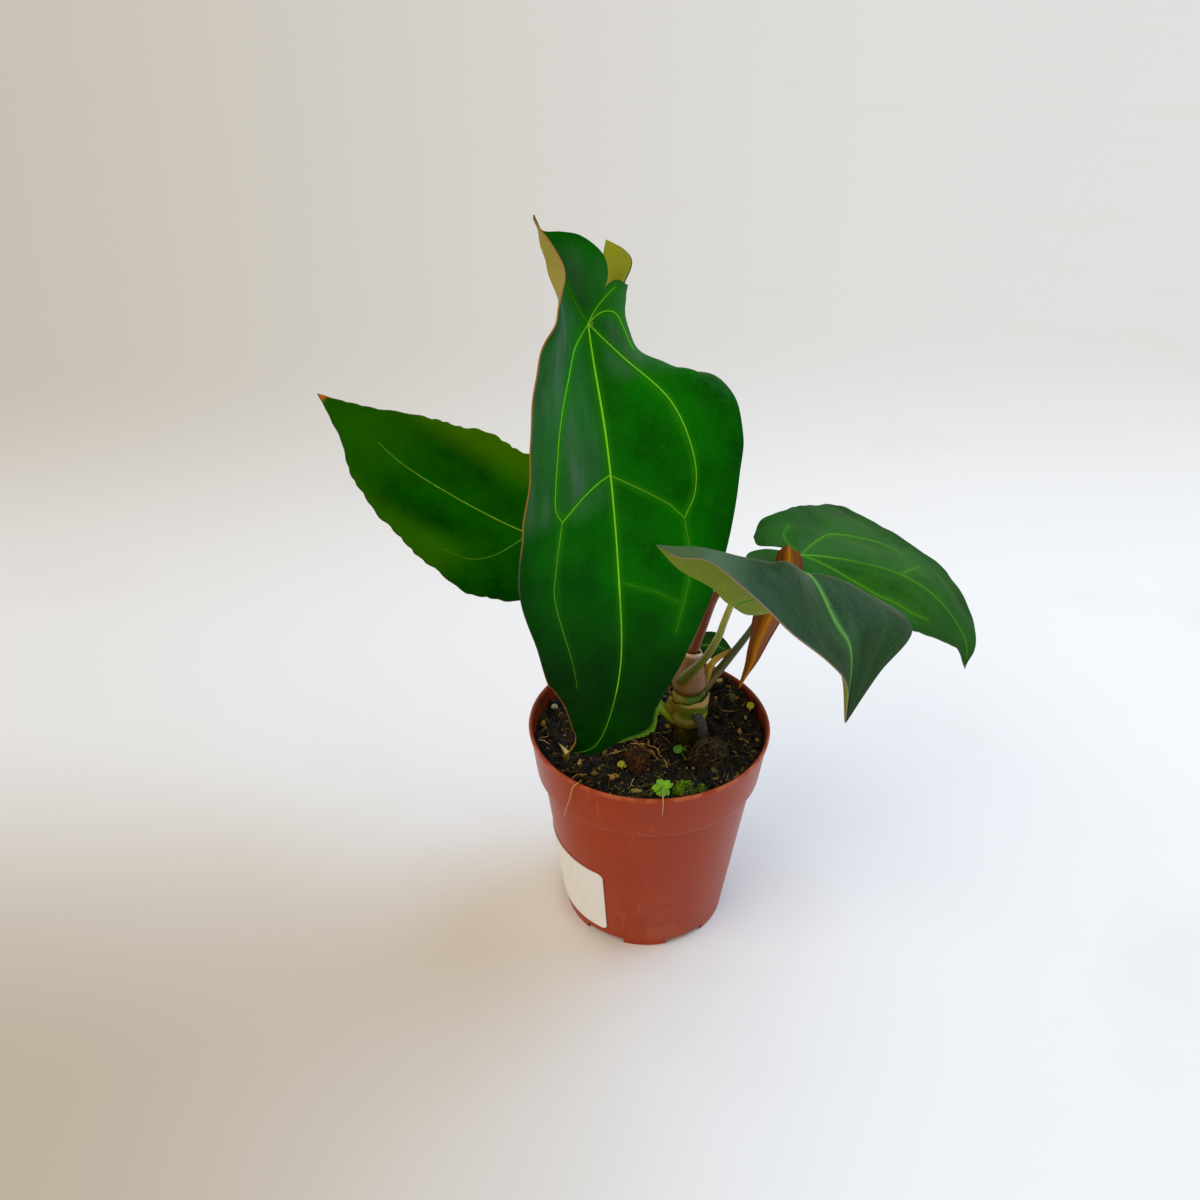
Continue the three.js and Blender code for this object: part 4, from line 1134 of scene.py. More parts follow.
# %% Build the leaves
leaf_parts = {
    "leaf_front": (
        front_leaf, 130, 48, front_finishes, bright_vein, petiole_green,
        [(13, 1, 97), (9, 10, 112), (0, 18, 150), (-13, 22, 195), (-17.5, 12, 226), (-22.4, -11.4, 242.2)],
        [2.3, 2.1, 1.9, 1.8, 1.7, 1.4], "dark_leaf",
    ),
    "leaf_left_back": (
        left_back_leaf, 84, 34, left_back_finishes, dark_vein, petiole_bright,
        [(11, -3, 87), (2.5, -2, 96), (-10, 6, 113), (-26, 15, 135), (-39.5, 22, 149.6)],
        [1.9, 1.8, 1.6, 1.5, 1.2], "dark_leaf",
    ),
    "leaf_right_front": (
        right_front_leaf, 84, 34, right_front_finishes, blue_vein, petiole_olive,
        [
            (12.5, -3.5, 103.2), (11.4, -5, 108), (17.2, -18, 126), (19.6, -34, 145.5),
            (20, -44, 158), (21, -51.7, 169.8),
        ],
        [2.4, 2.2, 1.4, 1.2, 1.1, 1.0], "bluish_leaf",
    ),
    "leaf_right_back": (
        right_back_leaf, 84, 34, right_back_finishes, soft_vein, petiole_ochre,
        [(16, 0, 95), (21.7, 2, 102.1), (36.1, 8, 120.7), (44.4, 12, 135.8), (52.6, 15, 148.7)],
        [2.4, 1.8, 1.2, 1.1, 1.0], "dark_leaf",
    ),
    "leaf_new": (
        new_leaf, 60, 24, young_finishes(), young_vein, petiole_red,
        [
            (15, 1.2, 103.2), (14.2, 0.3, 113), (17.5, -5, 131), (21.2, -9, 147),
            (27, -10.5, 151), (35, -10.5, 152), (41.5, -8.5, 157), (44, -6.8, 163.4),
        ],
        [1.8, 2.1, 1.6, 1.4, 1.3, 1.3, 1.3, 0.9], "new_leaf",
    ),
    "leaf_small_back": (
        small_leaf, 26, 18, small_finishes, soft_vein, petiole_green,
        [(15, 2, 97), (18, 13, 100), (19.5, 20, 106)], [1.2, 1, 0.8], "dark_leaf",
    ),
}
blade_thickness = 0.4
for node, leaf_part in leaf_parts.items():
    leaf, rows, columns, finishes, vein_skin, stalk_skin, points, radii, slot = leaf_part
    stalk = tube(node + "_stalk", points, radii, sides=20, steps=60)
    stalk.data.materials.append(stalk_skin)
    grown = [make_blade(leaf, node + "_fine", rows, columns, blade_thickness, finishes), stalk]
    if node == "leaf_front":
        grown.append(torn_margin)
    if node == "leaf_right_back":
        strip_route = [(20, 1.2, 100), (21.7, 3, 108), (24.6, 4, 111.5), (31, 7.5, 113.4)]
        strip = tube(node + "_strip", strip_route, [1.7, 1.4, 1.1, 0.5], sides=16, steps=30)
        strip.data.materials.append(papery_strip)
        grown.append(strip)
    settle(join(grown, node + "_fine"), slot, node, smooth=60)
    settle(make_veins(leaf, node + "_veins"), slot, skin=vein_skin, smooth=80)

# %% [markdown]
# The pot is thin moulded plastic: a tapered body, a step to a wider collar, a small rolled lip, and a
# foot ring with notches round a raised base. One ring of edges is extruded along the profile, which is how
# a lathe would do it, and then the notches and drain holes are cut out.

# %% Pot shape
rim_radius, pot_height = 45, 86
foot_radius, body_top_radius, body_top_height = 31.3, 40, 65
collar_radius, collar_height = 42.3, 67.5
base_under, base_top = 2.7, 3.9
disc_radius = 12


def extrude_rings(rings):
    """Extrudes the selected ring of edges through radii and heights, of which it has the first itself."""
    for (radius, height), (next_radius, next_height) in zip(rings, rings[1:]):
        step = (0, 0, (next_height - height) * MM)
        bpy.ops.mesh.extrude_region_move(TRANSFORM_OT_translate={"value": step})
        share = next_radius / radius
        bpy.ops.transform.resize(value=(share, share, 1), center_override=(0, 0, 0))


def turned(name, profile, sides):
    """A round piece: a ring of edges extruded along its profile, and closed at both ends."""
    radius, height = profile[0]
    piece = primitive(
        bpy.ops.mesh.primitive_circle_add, name,
        vertices=sides, radius=radius * MM, location=(0, 0, height * MM), fill_type="NGON",
    )
    bpy.ops.object.transform_apply(location=True)
    bpy.ops.object.mode_set(mode="EDIT")
    bpy.ops.mesh.select_all(action="SELECT")
    extrude_rings(profile)
    end_edit()
    return piece


pot = turned("pot_fine", [
    (disc_radius - 0.4, 0), (disc_radius, 0.3), (disc_radius + 0.6, base_under),
    (foot_radius - 2.5, base_under), (foot_radius - 1.7, 0.3), (foot_radius - 1.4, 0),
    (foot_radius - 0.3, 0), (foot_radius, 0.3),
    (foot_radius + 2.9, 22), (foot_radius + 5.8, 43.5), (body_top_radius, body_top_height),
    (body_top_radius + 0.5, body_top_height + 0.5), (collar_radius - 0.5, body_top_height + 1.5),
    (collar_radius - 0.1, collar_height - 0.5), (collar_radius + 0.1, collar_height + 0.4),
    (rim_radius - 1.1, 80), (rim_radius - 0.6, pot_height - 2), (rim_radius - 0.1, pot_height - 1.6),
    (rim_radius, pot_height - 0.9), (rim_radius - 0.15, pot_height - 0.3), (rim_radius - 0.5, pot_height),
    (rim_radius - 1.0, pot_height - 0.05), (rim_radius - 1.4, pot_height - 0.5),
    (rim_radius - 1.6, pot_height - 1.5), (collar_radius - 1, collar_height + 0.6),
    (body_top_radius - 1, body_top_height + 0.9), (foot_radius - 0.8, base_top + 0.4),
    (foot_radius - 1.4, base_top), (disc_radius, base_top),
], 128)
notch_count, first_notch = 6, 239
hole_circle, hole_radius = 22, 3
tools = []
for turn in range(notch_count):
    angle = math.radians(first_notch + 360 / notch_count * turn)
    hole_angle = angle + math.radians(30)
    middle = np.array([math.cos(angle), math.sin(angle), 0]) * (foot_radius - 1) + (0, 0, 0.85)
    tools.append(primitive(
        bpy.ops.mesh.primitive_cube_add, "notch",
        size=1, location=middle * MM, rotation=(0, 0, angle), scale=(8 * MM, 16 * MM, 3.7 * MM),
    ))
    middle = np.array([math.cos(hole_angle), math.sin(hole_angle), 0]) * hole_circle + (0, 0, base_top)
    tools.append(primitive(
        bpy.ops.mesh.primitive_cylinder_add, "drain_hole",
        vertices=24, radius=hole_radius * MM, depth=8 * MM, location=middle * MM,
    ))
for tool in tools:
    take(tool)
    bpy.ops.object.transform_apply(location=True, rotation=True, scale=True)
for tool in tools:
    modify(pot, "BOOLEAN", operation="DIFFERENCE", solver="EXACT", object=tool)
    bpy.data.objects.remove(tool)
print("pot has", len(pot.data.polygons), "faces")

# %% [markdown]
# Its plastic is a warm brick red with a soft gloss. It is dusty towards the foot, smudged with peat under
# the rim and marked by fine scratches. Its lip has pale scuffs where pots were stacked and a painted
# highlight along its top, and its inner wall above the peat is painted dark, as shade inside the rim.

# %% Pot finish
def plastic_finish():
    skin = Finish("brick_plastic", 0.4, 0.22)
    place = skin.place()
    across, deep, height = (skin.part(place, axis) for axis in "XYZ")
    cloud, dust_cloud = skin.noise(place, 28, 4, 0.6), skin.noise(place, 90, 4, 0.65)
    rim_noise, smudge_cloud = skin.noise(place, 160, 3), skin.noise(place, 55, 3)
    dust = (1 - skin.step(height, 0.0, 0.05)) * skin.step(dust_cloud, 0.42, 0.72)
    scratch = skin.step(skin.noise(skin.stretched(place, (600, 600, 24)), 1.0, 2), 0.68, 0.74)
    # Pale scuffs on the lip where pots were stacked, and a painted highlight along its top edge.
    lip_scuffs_and_highlight = skin.step(height, 0.0835, 0.0855) * skin.step(rim_noise, 0.4, 0.7)
    smudge = skin.step(height, 0.07, 0.084) * skin.step(smudge_cloud, 0.56, 0.7)
    # Painted shade: the inner wall above the peat is painted dark brown, for the shade inside the rim.
    radius = skin.maths("POWER", across * across + deep * deep, 0.5)
    inner_side = 1 - skin.step(radius - 0.128 * height, 0.0331, 0.0335)
    stain = inner_side * skin.step(height, 0.068, 0.07) * (0.6 + 0.4 * skin.step(rim_noise, 0.4, 0.6))
    tone = skin.coats(
        skin.mix(cloud, (142, 44, 4), (158, 54, 9)),
        (dust * 0.2, (184, 132, 104)),
        (scratch * 0.18, (196, 128, 104)),
        (lip_scuffs_and_highlight * 0.5, (204, 116, 66)),
        (smudge * 0.3, (84, 40, 22)),
        (stain * 0.85, (58, 26, 12)),
    )
    roughness = 0.27 + dust * 0.25 + cloud * 0.12 + scratch * 0.1
    return skin.use(tone, cloud * 0.5 + dust_cloud * 0.2, 0.0004, 0.4, roughness=roughness)


settle(pot, "pot_plastic", "pot", skin=plastic_finish(), smooth=28)

# %% [markdown]
# A bare white paper label is stuck round the left of the pot. Its corners are rounded by pulling the
# corner squares of a grid into quarter discs, and then the grid is wrapped round the cone of the pot.

# %% Label
label_first, label_last = 152, 242
label_bottom, label_top = 6, 38
label_corner = 2.2


def body_radius(z):
    """The radius of the pot's body at a height."""
    return foot_radius + (body_top_radius - foot_radius) * z / body_top_height


def label_form(along, across):
    middle = body_radius((label_bottom + label_top) / 2)
    width = middle * math.radians(label_last - label_first)
    x = across * width
    z = label_bottom + along * (label_top - label_bottom)
    centre_x = np.clip(x, label_corner, width - label_corner)
    centre_z = np.clip(z, label_bottom + label_corner, label_top - label_corner)
    dx = (x - centre_x) / label_corner
    dz = (z - centre_z) / label_corner
    x = centre_x + dx * np.sqrt(1 - dz**2 / 2) * label_corner
    z = centre_z + dz * np.sqrt(1 - dx**2 / 2) * label_corner
    angle = np.radians(label_first) + x / middle
    loose = 0.12 * np.sin(0.35 * x) * np.sin(0.5 * z) ** 2
    return turned_round((0, 0), body_radius(z) + 0.3 + np.maximum(loose, 0), angle, z)


def sticker_finish():
    skin = Finish("label_paper", 0.42, 0.4)
    place = skin.place()
    grain = skin.noise(skin.stretched(place, (1, 1, 0.4)), 500, 4, 0.7)
    stain = skin.step(skin.noise(place, 40, 3), 0.5, 0.75)
    tone = skin.coats(skin.mix(grain, (214, 214, 212), (236, 238, 238)), (stain * 0.2, (208, 196, 176)))
    return skin.use(tone, grain, 0.0001, 0.3)


label = merge(sheet("label_fine", 40, 64, label_form, thickness=0.3), 0.001)
settle(label, "label_paper", "label", skin=sticker_finish(), smooth=40)

# %% [markdown]
# The peat heaps up at the back right and sinks at the front. A fine grid pulled into a disc takes that
# relief, and its border is extruded down to fill the pot. The heaps repeat the solid model's.

# %% Soil body
soil_level = 79.5
soil_edge = 42.45


def soil_height(x, y):
    heap = 6 * np.exp(-((x - 31) ** 2 + (y - 28) ** 2) / (2 * 13**2))
    bank = 2 * np.exp(-((x - 44) ** 2 + (y + 4) ** 2) / (2 * 12**2))
    swell = 0.7 * np.sin(0.31 * x + 0.8) * np.cos(0.27 * y - 0.5)
    lumps = 0.5 * np.sin(0.83 * x + 0.41 * y) + 0.35 * np.cos(1.1 * y - 0.6 * x + 1)
    return soil_level + heap + bank + swell + lumps


def rough(x, y, scale, seed):
    """Seeded roughness between about -1 and 1 at flat points."""
    return np.array([
        noise.fractal(Vector((px * scale, py * scale, seed)), 0.7, 2.1, 4) for px, py in zip(x, y)
    ])


def disc(along, across):
    """The square of shares pulled into a disc of radius 1."""
    x, y = across * 2 - 1, along * 2 - 1
    return x * np.sqrt(1 - y**2 / 2), y * np.sqrt(1 - x**2 / 2)


def soil_form(along, across):
    x, y = disc(along, across)
    disc_x, disc_y = x * soil_edge, y * soil_edge
    height = soil_height(disc_x, disc_y) + 1.1 * rough(disc_x, disc_y, 0.35, 3.7)
    return np.stack([disc_x, disc_y, height], -1)


soil_parts = 150
soil = sheet("soil_fine", soil_parts, soil_parts, soil_form)
take(soil)
bpy.ops.object.mode_set(mode="EDIT")
bpy.ops.mesh.select_all(action="DESELECT")
bpy.ops.mesh.select_mode(type="EDGE")
bpy.ops.mesh.select_non_manifold()
extrude_rings([(soil_edge, soil_level), (41, 68.5), (38.6, 66), (30, 4.2)])
bpy.ops.transform.resize(value=(1, 1, 0))
bpy.ops.mesh.edge_face_add()
end_edit()

# %% [markdown]
# Peat is black when damp, with brown and straw-coloured fibres in it.

# %% Soil finish
def crumb_finish(name, dark, brown, pale):
    earth = Finish(name, 0.9, 0.25)
    place = earth.place()
    clods = earth.noise(place, 260, 4, 0.7)
    grains = earth.noise(place, 1100, 3, 0.6)
    tone = earth.coats(
        dark,
        (earth.step(clods, 0.45, 0.66), brown),
        (earth.step(grains, 0.6, 0.7) * 0.7, pale),
    )
    return earth.use(tone, clods * 0.7 + grains * 0.3, 0.0014, 0.9)


peat = crumb_finish("damp_peat", (8, 6, 4), (32, 24, 10), (118, 92, 38))
settle(soil, "peat_soil", "soil", skin=peat, smooth=60)

# %% [markdown]
# Crumbs are rough lumps, copied many times, each copy turned and sized by a seeded draw. Between them lie
# flat chips of bark and dry leaf, brown, yellow or grey-green.

# %% Crumbs
def lump_model(name, subdivisions, roughness, seed):
    """A rough unit lump, to be copied."""
    piece = primitive(bpy.ops.mesh.primitive_ico_sphere_add, name, subdivisions=subdivisions, radius=1)
    places = points_of(piece)
    swell = np.array([noise.noise(Vector(p * 1.3) + Vector((seed, 0, 0))) for p in places])
    set_points(piece, places * (1 + roughness * swell)[:, None])
    return piece


def any_turn():
    """A seeded turn in any direction, as a 3 by 3 matrix."""
    w, x, y, z = unit(rng.normal(size=4))
    return np.array([
        [1 - 2 * (y * y + z * z), 2 * (x * y - z * w), 2 * (x * z + y * w)],
        [2 * (x * y + z * w), 1 - 2 * (x * x + z * z), 2 * (y * z - x * w)],
        [2 * (x * z - y * w), 2 * (y * z + x * w), 1 - 2 * (x * x + y * y)],
    ])


def leaning_turn(direction):
    """A turn that brings +Z to a direction, with a seeded spin."""
    up = unit(np.asarray(direction, float))
    spin = rng.normal(size=3)
    side = unit(np.cross(up, spin))
    return np.stack([side, np.cross(up, side), up], -1)


def copies(model, name, placings):
    """One piece of many copies of a model, each with a place, a turn, three sizes and a tone."""
    model_points = points_of(model)
    faces = [tuple(face.vertices) for face in model.data.polygons]
    count = len(model_points)
    places = []
    corners = []
    tones = []
    for number, (place, turn, sizes, tone) in enumerate(placings):
        places.append((model_points * sizes) @ turn.T + place)
        corners.extend(tuple(v + number * count for v in face) for face in faces)
        tones.append(np.full(count, tone))
    mesh = bpy.data.meshes.new(name)
    mesh.from_pydata(np.concatenate(places) * MM, [], corners)
    piece = bpy.data.objects.new(name, mesh)
    bpy.context.scene.collection.objects.link(piece)
    paint_points(piece, "tone", np.concatenate(tones))
    bpy.data.objects.remove(model)
    return piece


def soil_spot(reach=0.97):
    """A seeded place on the soil."""
    radius = soil_edge * reach * math.sqrt(rng.random())
    angle = 2 * math.pi * rng.random()
    x, y = radius * math.cos(angle), radius * math.sin(angle)
    return np.array([x, y, float(soil_height(x, y))])


def crumb_placings(number, smallest, largest):
    placings = []
    for _ in range(number):
        spot = soil_spot()
        size = smallest + (largest - smallest) * rng.random() ** 3
        sizes = size * rng.uniform(0.6, 1.2, 3)
        inside = soil_edge - 0.3 - size
        reach = math.hypot(spot[0], spot[1])
        spot[:2] *= min(1, inside / reach)
        placings.append((spot + (0, 0, 0.2 * size), any_turn(), sizes, rng.random()))
    return placings


def chip_placings(number):
    """Flat scraps, most of them lying nearly level."""
    placings = []
    for _ in range(number):
        spot = soil_spot(0.94)
        size = rng.uniform(0.35, 1.25)
        sizes = size * np.array([1, rng.uniform(0.35, 0.8), 0.16])
        turn = leaning_turn(rng.normal(size=3) * (0.45, 0.45, 0) + (0, 0, 1))
        placings.append((spot + (0, 0, 0.45), turn, sizes, rng.uniform(0.45, 1)))
    return placings


crumbs = join([
    copies(lump_model("clod", 2, 0.8, 2.0), "clods", crumb_placings(90, 1.0, 2.3)),
    copies(lump_model("crumb", 1, 0.8, 3.0), "crumbs", crumb_placings(500, 0.5, 1.5)),
    copies(lump_model("grain", 1, 0.6, 5.0), "grains", crumb_placings(1500, 0.25, 0.7)),
    copies(lump_model("chip", 1, 0.5, 7.0), "chips", chip_placings(320)),
], "soil_crumbs")


def loose_finish():
    skin = Finish("loose_peat", 0.92, 0.25)
    grains = skin.noise(skin.place(), 700, 4, 0.7)
    tone = skin.ramp(
        skin.painted("tone"), (0.0, (7, 6, 4)), (0.5, (18, 13, 6)), (0.7, (50, 36, 12)),
        (0.85, (84, 78, 26)), (1.0, (172, 134, 58)),
    )
    tone = skin.mix(skin.step(grains, 0.56, 0.75) * 0.4, tone, (96, 74, 38))
    return skin.use(tone, grains, 0.0006, 0.8)


settle(crumbs, "peat_soil", skin=loose_finish(), smooth=0)

# %% [markdown]
# Dead fibres and hair roots lie all over the peat. Each is a thin tube along a short seeded walk. The straws
# beside the bark are given one by one.

# %% Fibres
def walk(start, length, curl, lift):
    """A seeded, curling route from a start point, lying on the soil."""
    heading = 2 * math.pi * rng.random()
    points = [np.array(start, float)]
    parts = 5
    for step in range(parts):
        heading += curl * rng.normal()
        move = length / parts * np.array([math.cos(heading), math.sin(heading), 0])
        place = points[-1] + move
        reach = math.hypot(place[0], place[1])
        place[:2] *= min(1, (soil_edge - 1) / reach)
        place[2] = soil_height(place[0], place[1]) + lift * math.sin(math.pi * (step + 1) / parts) + 0.3
        points.append(place)
    return points


fibre_count = 220
fibres = []
for _ in range(fibre_count):
    route = walk(soil_spot(0.95), rng.uniform(2, 8), 0.2, rng.uniform(0.1, 0.8))
    thickness = rng.uniform(0.06, 0.17)
    fibres.append(tube("fibre", route, [thickness, thickness, thickness * 0.5], 5, 12, tone=rng.random()))
for straw_route in (
    [(-7, -7), (-2, -8.2), (3.5, -9)],
    [(-5.5, -5), (-2, -9.4), (1, -13)],
    [(0.5, -9), (1.6, -13), (2.5, -17.5)],
    [(2.5, -8), (3.2, -10), (3.5, -12.5)],
    [(4, -12.5), (5.6, -17), (6, -21.5)],
):
    route = [(x, y, soil_height(x, y) + 0.9) for x, y in straw_route]
    fibres.append(tube("straw", route, [0.2, 0.24, 0.16], 6, 16, tone=0.96))


def straw_finish():
    skin = Finish("dead_fibre", 0.75, 0.3)
    tone = skin.ramp(
        skin.painted("tone"), (0.0, (44, 32, 12)), (0.5, (92, 70, 26)),
        (0.8, (146, 114, 46)), (1.0, (212, 176, 112)),
    )
    return skin.use(skin.mix(skin.noise(skin.place(), 900, 2) * 0.4, tone, (80, 54, 24)))


straw_skin = straw_finish()
settle(join(fibres, "soil_fibres"), "brown_fibre", skin=straw_skin, smooth=60)

# %% [markdown]
# Two twigs lie on the peat, and two hair roots hang over the rim.

# %% Twigs and hanging roots
twig_skin = crumb_finish("twig_bark", (88, 60, 28), (148, 106, 48), (190, 150, 84))
for node, points, radii in (
    ("twig_long", [(-25, 24, 81), (-21, 10, 80.6), (-18, -4, 80.2)], [0.9, 0.8, 0.6]),
    ("twig_short", [(-8, -3, 81), (-2, -10, 80.6), (3.4, -17, 80.6)], [0.55, 0.6, 0.45]),
):
    settle(tube(node + "_fine", points, radii, 12, 30), "bark", node, skin=twig_skin)

hanging = [
    ([(-25, -28, 80.5), (-25.4, -33, 84), (-25.8, -36.6, 86.5), (-27.8, -36.8, 84.5), (-29, -35.8, 78),
      (-30.2, -34.6, 73), (-31, -33.6, 68)], 0.22),
    ([(2.6, -37, 81), (3.2, -42.6, 86.2), (3.3, -44.6, 86.5), (3.4, -45.2, 83), (3.2, -45, 79.5)], 0.24),
    ([(-26, -25, 80.8), (-27.6, -29, 82.8), (-28.6, -31.4, 83)], 0.2),
]
roots = [
    tube("hanging_root", points, [thickness, thickness, 0.6 * thickness], 6, 40, tone=0.95)
    for points, thickness in hanging
]
settle(join(roots, "hanging_roots"), "brown_fibre", skin=straw_skin, smooth=60)

# %% [markdown]
# The stem stands upright in the peat on a few main roots. It is green under its scars and old leaf rings,
# and painted dark low down, as the shade under its sheath and leaves.
# A lathe profile gives the rings, and seeded roughness makes them uneven.

# %% Stem
stem_x, stem_y = 14, -3
stem_profile = [
    (0.4, 56), (3.4, 56.3), (4.4, 70), (4.6, 80), (5.0, 85), (5.5, 88.4), (6.6, 89.6), (6.9, 91),
    (6.5, 92.2), (5.7, 93), (5.9, 95.4), (6.3, 96), (6.0, 96.7), (5.9, 99.5), (6.2, 100.1), (5.8, 100.7),
    (5.4, 102.5), (0.4, 102.6),
]
stem = turned("stem_fine", stem_profile, 48)
places = points_of(stem) / MM
bulge = np.array([noise.fractal(Vector(p * (0.35, 0.35, 0.5)), 0.8, 2.0, 3) for p in places])
places[:, :2] *= (1 + 0.05 * bulge)[:, None]
set_points(stem, (places + (stem_x, stem_y, 0)) * MM)
modify(stem, "SUBSURF", levels=1, render_levels=1)
roots = []
for number, degrees in enumerate((25, 115, 205, 295)):
    c, s = math.cos(math.radians(degrees)), math.sin(math.radians(degrees))
    route = [
        (stem_x, stem_y, 62 + number), (stem_x + 9 * c, stem_y + 9 * s, 56), (24 * c, 24 * s, 38),
        (26 * c, 26 * s, 18),
    ]
    roots.append(tube("main_root", route, [2, 1.7, 1.4, 0.9], 10, 24))
bud = lump_model("bud", 3, 0.1, 2)
set_points(bud, (points_of(bud) * (2, 2.2, 4.2) + (7.8, -3.6, 95.5)) * MM)
stem = join([stem, bud, *roots], "stem_fine")


def stem_finish():
    skin = Finish("stem_skin", 0.5, 0.35)
    place = skin.place()
    height = skin.part(place, "Z")
    patches = skin.noise(place, 240, 4, 0.65)
    rings = skin.noise(skin.stretched(place, (60, 60, 700)), 1.0, 3)
    left = 1 - skin.step(skin.part(place, "X"), 0.009, 0.013)
    # Painted shade: below 88.5 mm the stem is painted dark olive, for the shade under its sheath and leaves.
    tone = skin.coats(
        skin.mix(skin.step(height, 0.0885, 0.0895), (40, 36, 8), (104, 98, 6)),
        (skin.step(height, 0.092, 0.0935), skin.mix(left, (66, 96, 12), (122, 108, 8))),
        (skin.step(patches, 0.52, 0.72) * 0.4, (150, 140, 20)),
        (skin.step(rings, 0.46, 0.66) * 0.75, (52, 38, 8)),
    )
    return skin.use(tone, patches * 0.5 + rings * 0.5, 0.0006, 0.7)


settle(stem, "stem_skin", "stem", skin=stem_finish())

# %% [markdown]
# A papery sheath closes round the newest growth like a cone. It is a sheet rolled once round, brownish pink
# and nearly smooth, with a dark line at its foot. A torn strip of an older sheath lies round the front of
# the stem: green, pale along its upper edge, and drawn down to a point at its right.

# %% Sheaths
sheath_low, sheath_high = 102.8, 118.4
sheath_rings = np.array([
    (sheath_low, 5.7), (104.3, 6.1), (107.5, 5.7), (112, 4.6), (116, 3.6), (sheath_high, 3.1),
])


def sheath_form(along, across):
    angle = 2 * np.pi * across + 1.9
    mouth = sheath_high - 0.9 * smoothstep(np.cos(angle - 0.4), 0.2, 1.0)
    z = sheath_low + (mouth - sheath_low) * along
    share = (z - sheath_low) / (sheath_high - sheath_low)
    ribs = 0.06 * np.sin(17 * angle) + 0.05 * np.sin(29 * angle + 1)
    radius = np.interp(z, *sheath_rings.T) - 0.2 + ribs * smoothstep(along, 0.1, 0.4)
    return turned_round((13.7 + 1.2 * share, -2.2 + share), radius, angle, z)


def papery_finish():
    skin = Finish("brown_sheath", 0.42, 0.4)
    flat, place = skin.flat(), skin.place()
    rise = skin.part(flat, "Y")
    ribs = skin.noise(skin.stretched(flat, (60, 3, 1)), 1.0, 4, 0.6)
    left = 1 - skin.step(skin.part(place, "X"), 0.0085, 0.0125)
    blotch = skin.step(skin.noise(place, 240, 3), 0.52, 0.7)
    tone = skin.coats(
        skin.mix(ribs, (106, 68, 18), (152, 110, 52)),
        (left * 0.8, (116, 88, 16)),
        ((1 - skin.step(rise, 0.1, 0.7)) * 0.55, (88, 56, 20)),
        (blotch * 0.35, (96, 58, 34)),
        ((1 - skin.step(rise, 0.02, 0.16)) * 0.85, (66, 48, 6)),
        (skin.step(rise, 0.88, 0.97) * 0.8, (226, 200, 176)),
    )
    return skin.use(tone, ribs, 0.0003, 0.5)


def strip_form(along, across):
    angle = np.radians(200 + 155 * across)
    bottom = 96.8 - 4.3 * smoothstep((across - 0.5) / 0.4) + 0.35 * np.sin(31 * across)
    top = 99.2 + 2.6 * across + 0.2 * np.sin(23 * across + 1)
    z = bottom + (top - bottom) * along
    return turned_round((13.9, -2.9), 6.9 + 0.5 * along + 0.06 * np.sin(60 * across), angle, z)


def old_sheath_finish():
    skin = Finish("pale_sheath", 0.45, 0.35)
    flat = skin.flat()
    round_share, rise = skin.part(flat, "X"), skin.part(flat, "Y")
    ribs = skin.noise(skin.stretched(flat, (40, 4, 1)), 1.0, 4, 0.6)
    edge = skin.step(rise + round_share * 0.3, 0.72, 0.9) * skin.step(round_share, 0.2, 0.5)
    tip = (1 - skin.step(rise, 0.02, 0.25)) * skin.step(round_share, 0.45, 0.8)
    tone = skin.coats(
        skin.mix(ribs, (60, 84, 4), (96, 112, 8)),
        ((1 - skin.step(round_share, 0.25, 0.45)) * 0.8, (112, 96, 10)),
        (edge * 0.9, (178, 152, 84)),
        (tip * 0.8, (170, 176, 12)),
    )
    return skin.use(tone, ribs, 0.0003, 0.5)


sheath = sheet("sheath_fine", 40, 120, sheath_form, mapped=True, thickness=0.4)
settle(sheath, "brown_sheath", "sheath", skin=papery_finish(), smooth=60)
old_sheath = sheet("old_sheath_fine", 20, 90, strip_form, mapped=True, thickness=0.5)
settle(old_sheath, "pale_sheath", "old_sheath", skin=old_sheath_finish(), smooth=60)

# %% [markdown]
# One grey aerial root grows from the stem down into the peat. Its skin is dry and finely cracked.

# %% Aerial root
def cracked_finish():
    skin = Finish("grey_root", 0.8, 0.3)
    place = skin.place()
    cracks = skin.step(skin.cells(place, 900), 0.0, 0.2)
    tone = skin.mix(skin.noise(place, 300, 3), (34, 32, 28), (86, 84, 78))
    tone = skin.mix((1 - cracks) * 0.5, tone, (34, 30, 28))
    return skin.use(tone, cracks, 0.0004, 0.6)


aerial_route = [(15, -6, 97), (18.4, -10.8, 92.8), (19.2, -10.4, 87.6), (19.4, -10.6, 86.4)]
aerial = tube("aerial_root_fine", aerial_route, [1.5, 1.85, 1.6, 1.3], 24, 50)
settle(aerial, "grey_root", "aerial_root", skin=cracked_finish())

# %% [markdown]
# A chunk of bark lies in front of the stem. It is a block whose faces follow seeded layers, and a fibrous
# ball sits beside it: a core wrapped in short fibres, with peat caught between them.

# %% Bark chunk
def placed_lump(name, subdivisions, radii, centre, depth, scale, seed, layers=0.0):
    """A rough lump at its own size and place, layered across its longest way if asked."""
    piece = lump_model(name, subdivisions, 0.0, seed)
    unit_places = points_of(piece)
    shift = Vector((seed, 0, 0))
    swell = np.array([noise.fractal(Vector(p * scale) + shift, 0.6, 2.2, 4) for p in unit_places])
    ridges = layers * np.abs(np.sin(9 * unit_places[:, 2] + 2 * swell))
    set_points(piece, (unit_places * (1 + depth * swell - ridges)[:, None] * radii + centre) * MM)
    return piece


bark_chunk = placed_lump("bark_chunk_fine", 5, (5, 4.1, 4.9), (-4.5, -18.5, 81.4), 0.3, 1.6, 3, 0.06)
bark_finish = crumb_finish("old_bark", (44, 24, 8), (92, 54, 20), (146, 94, 40))
settle(bark_chunk, "bark", "bark_chunk", skin=bark_finish, smooth=60)

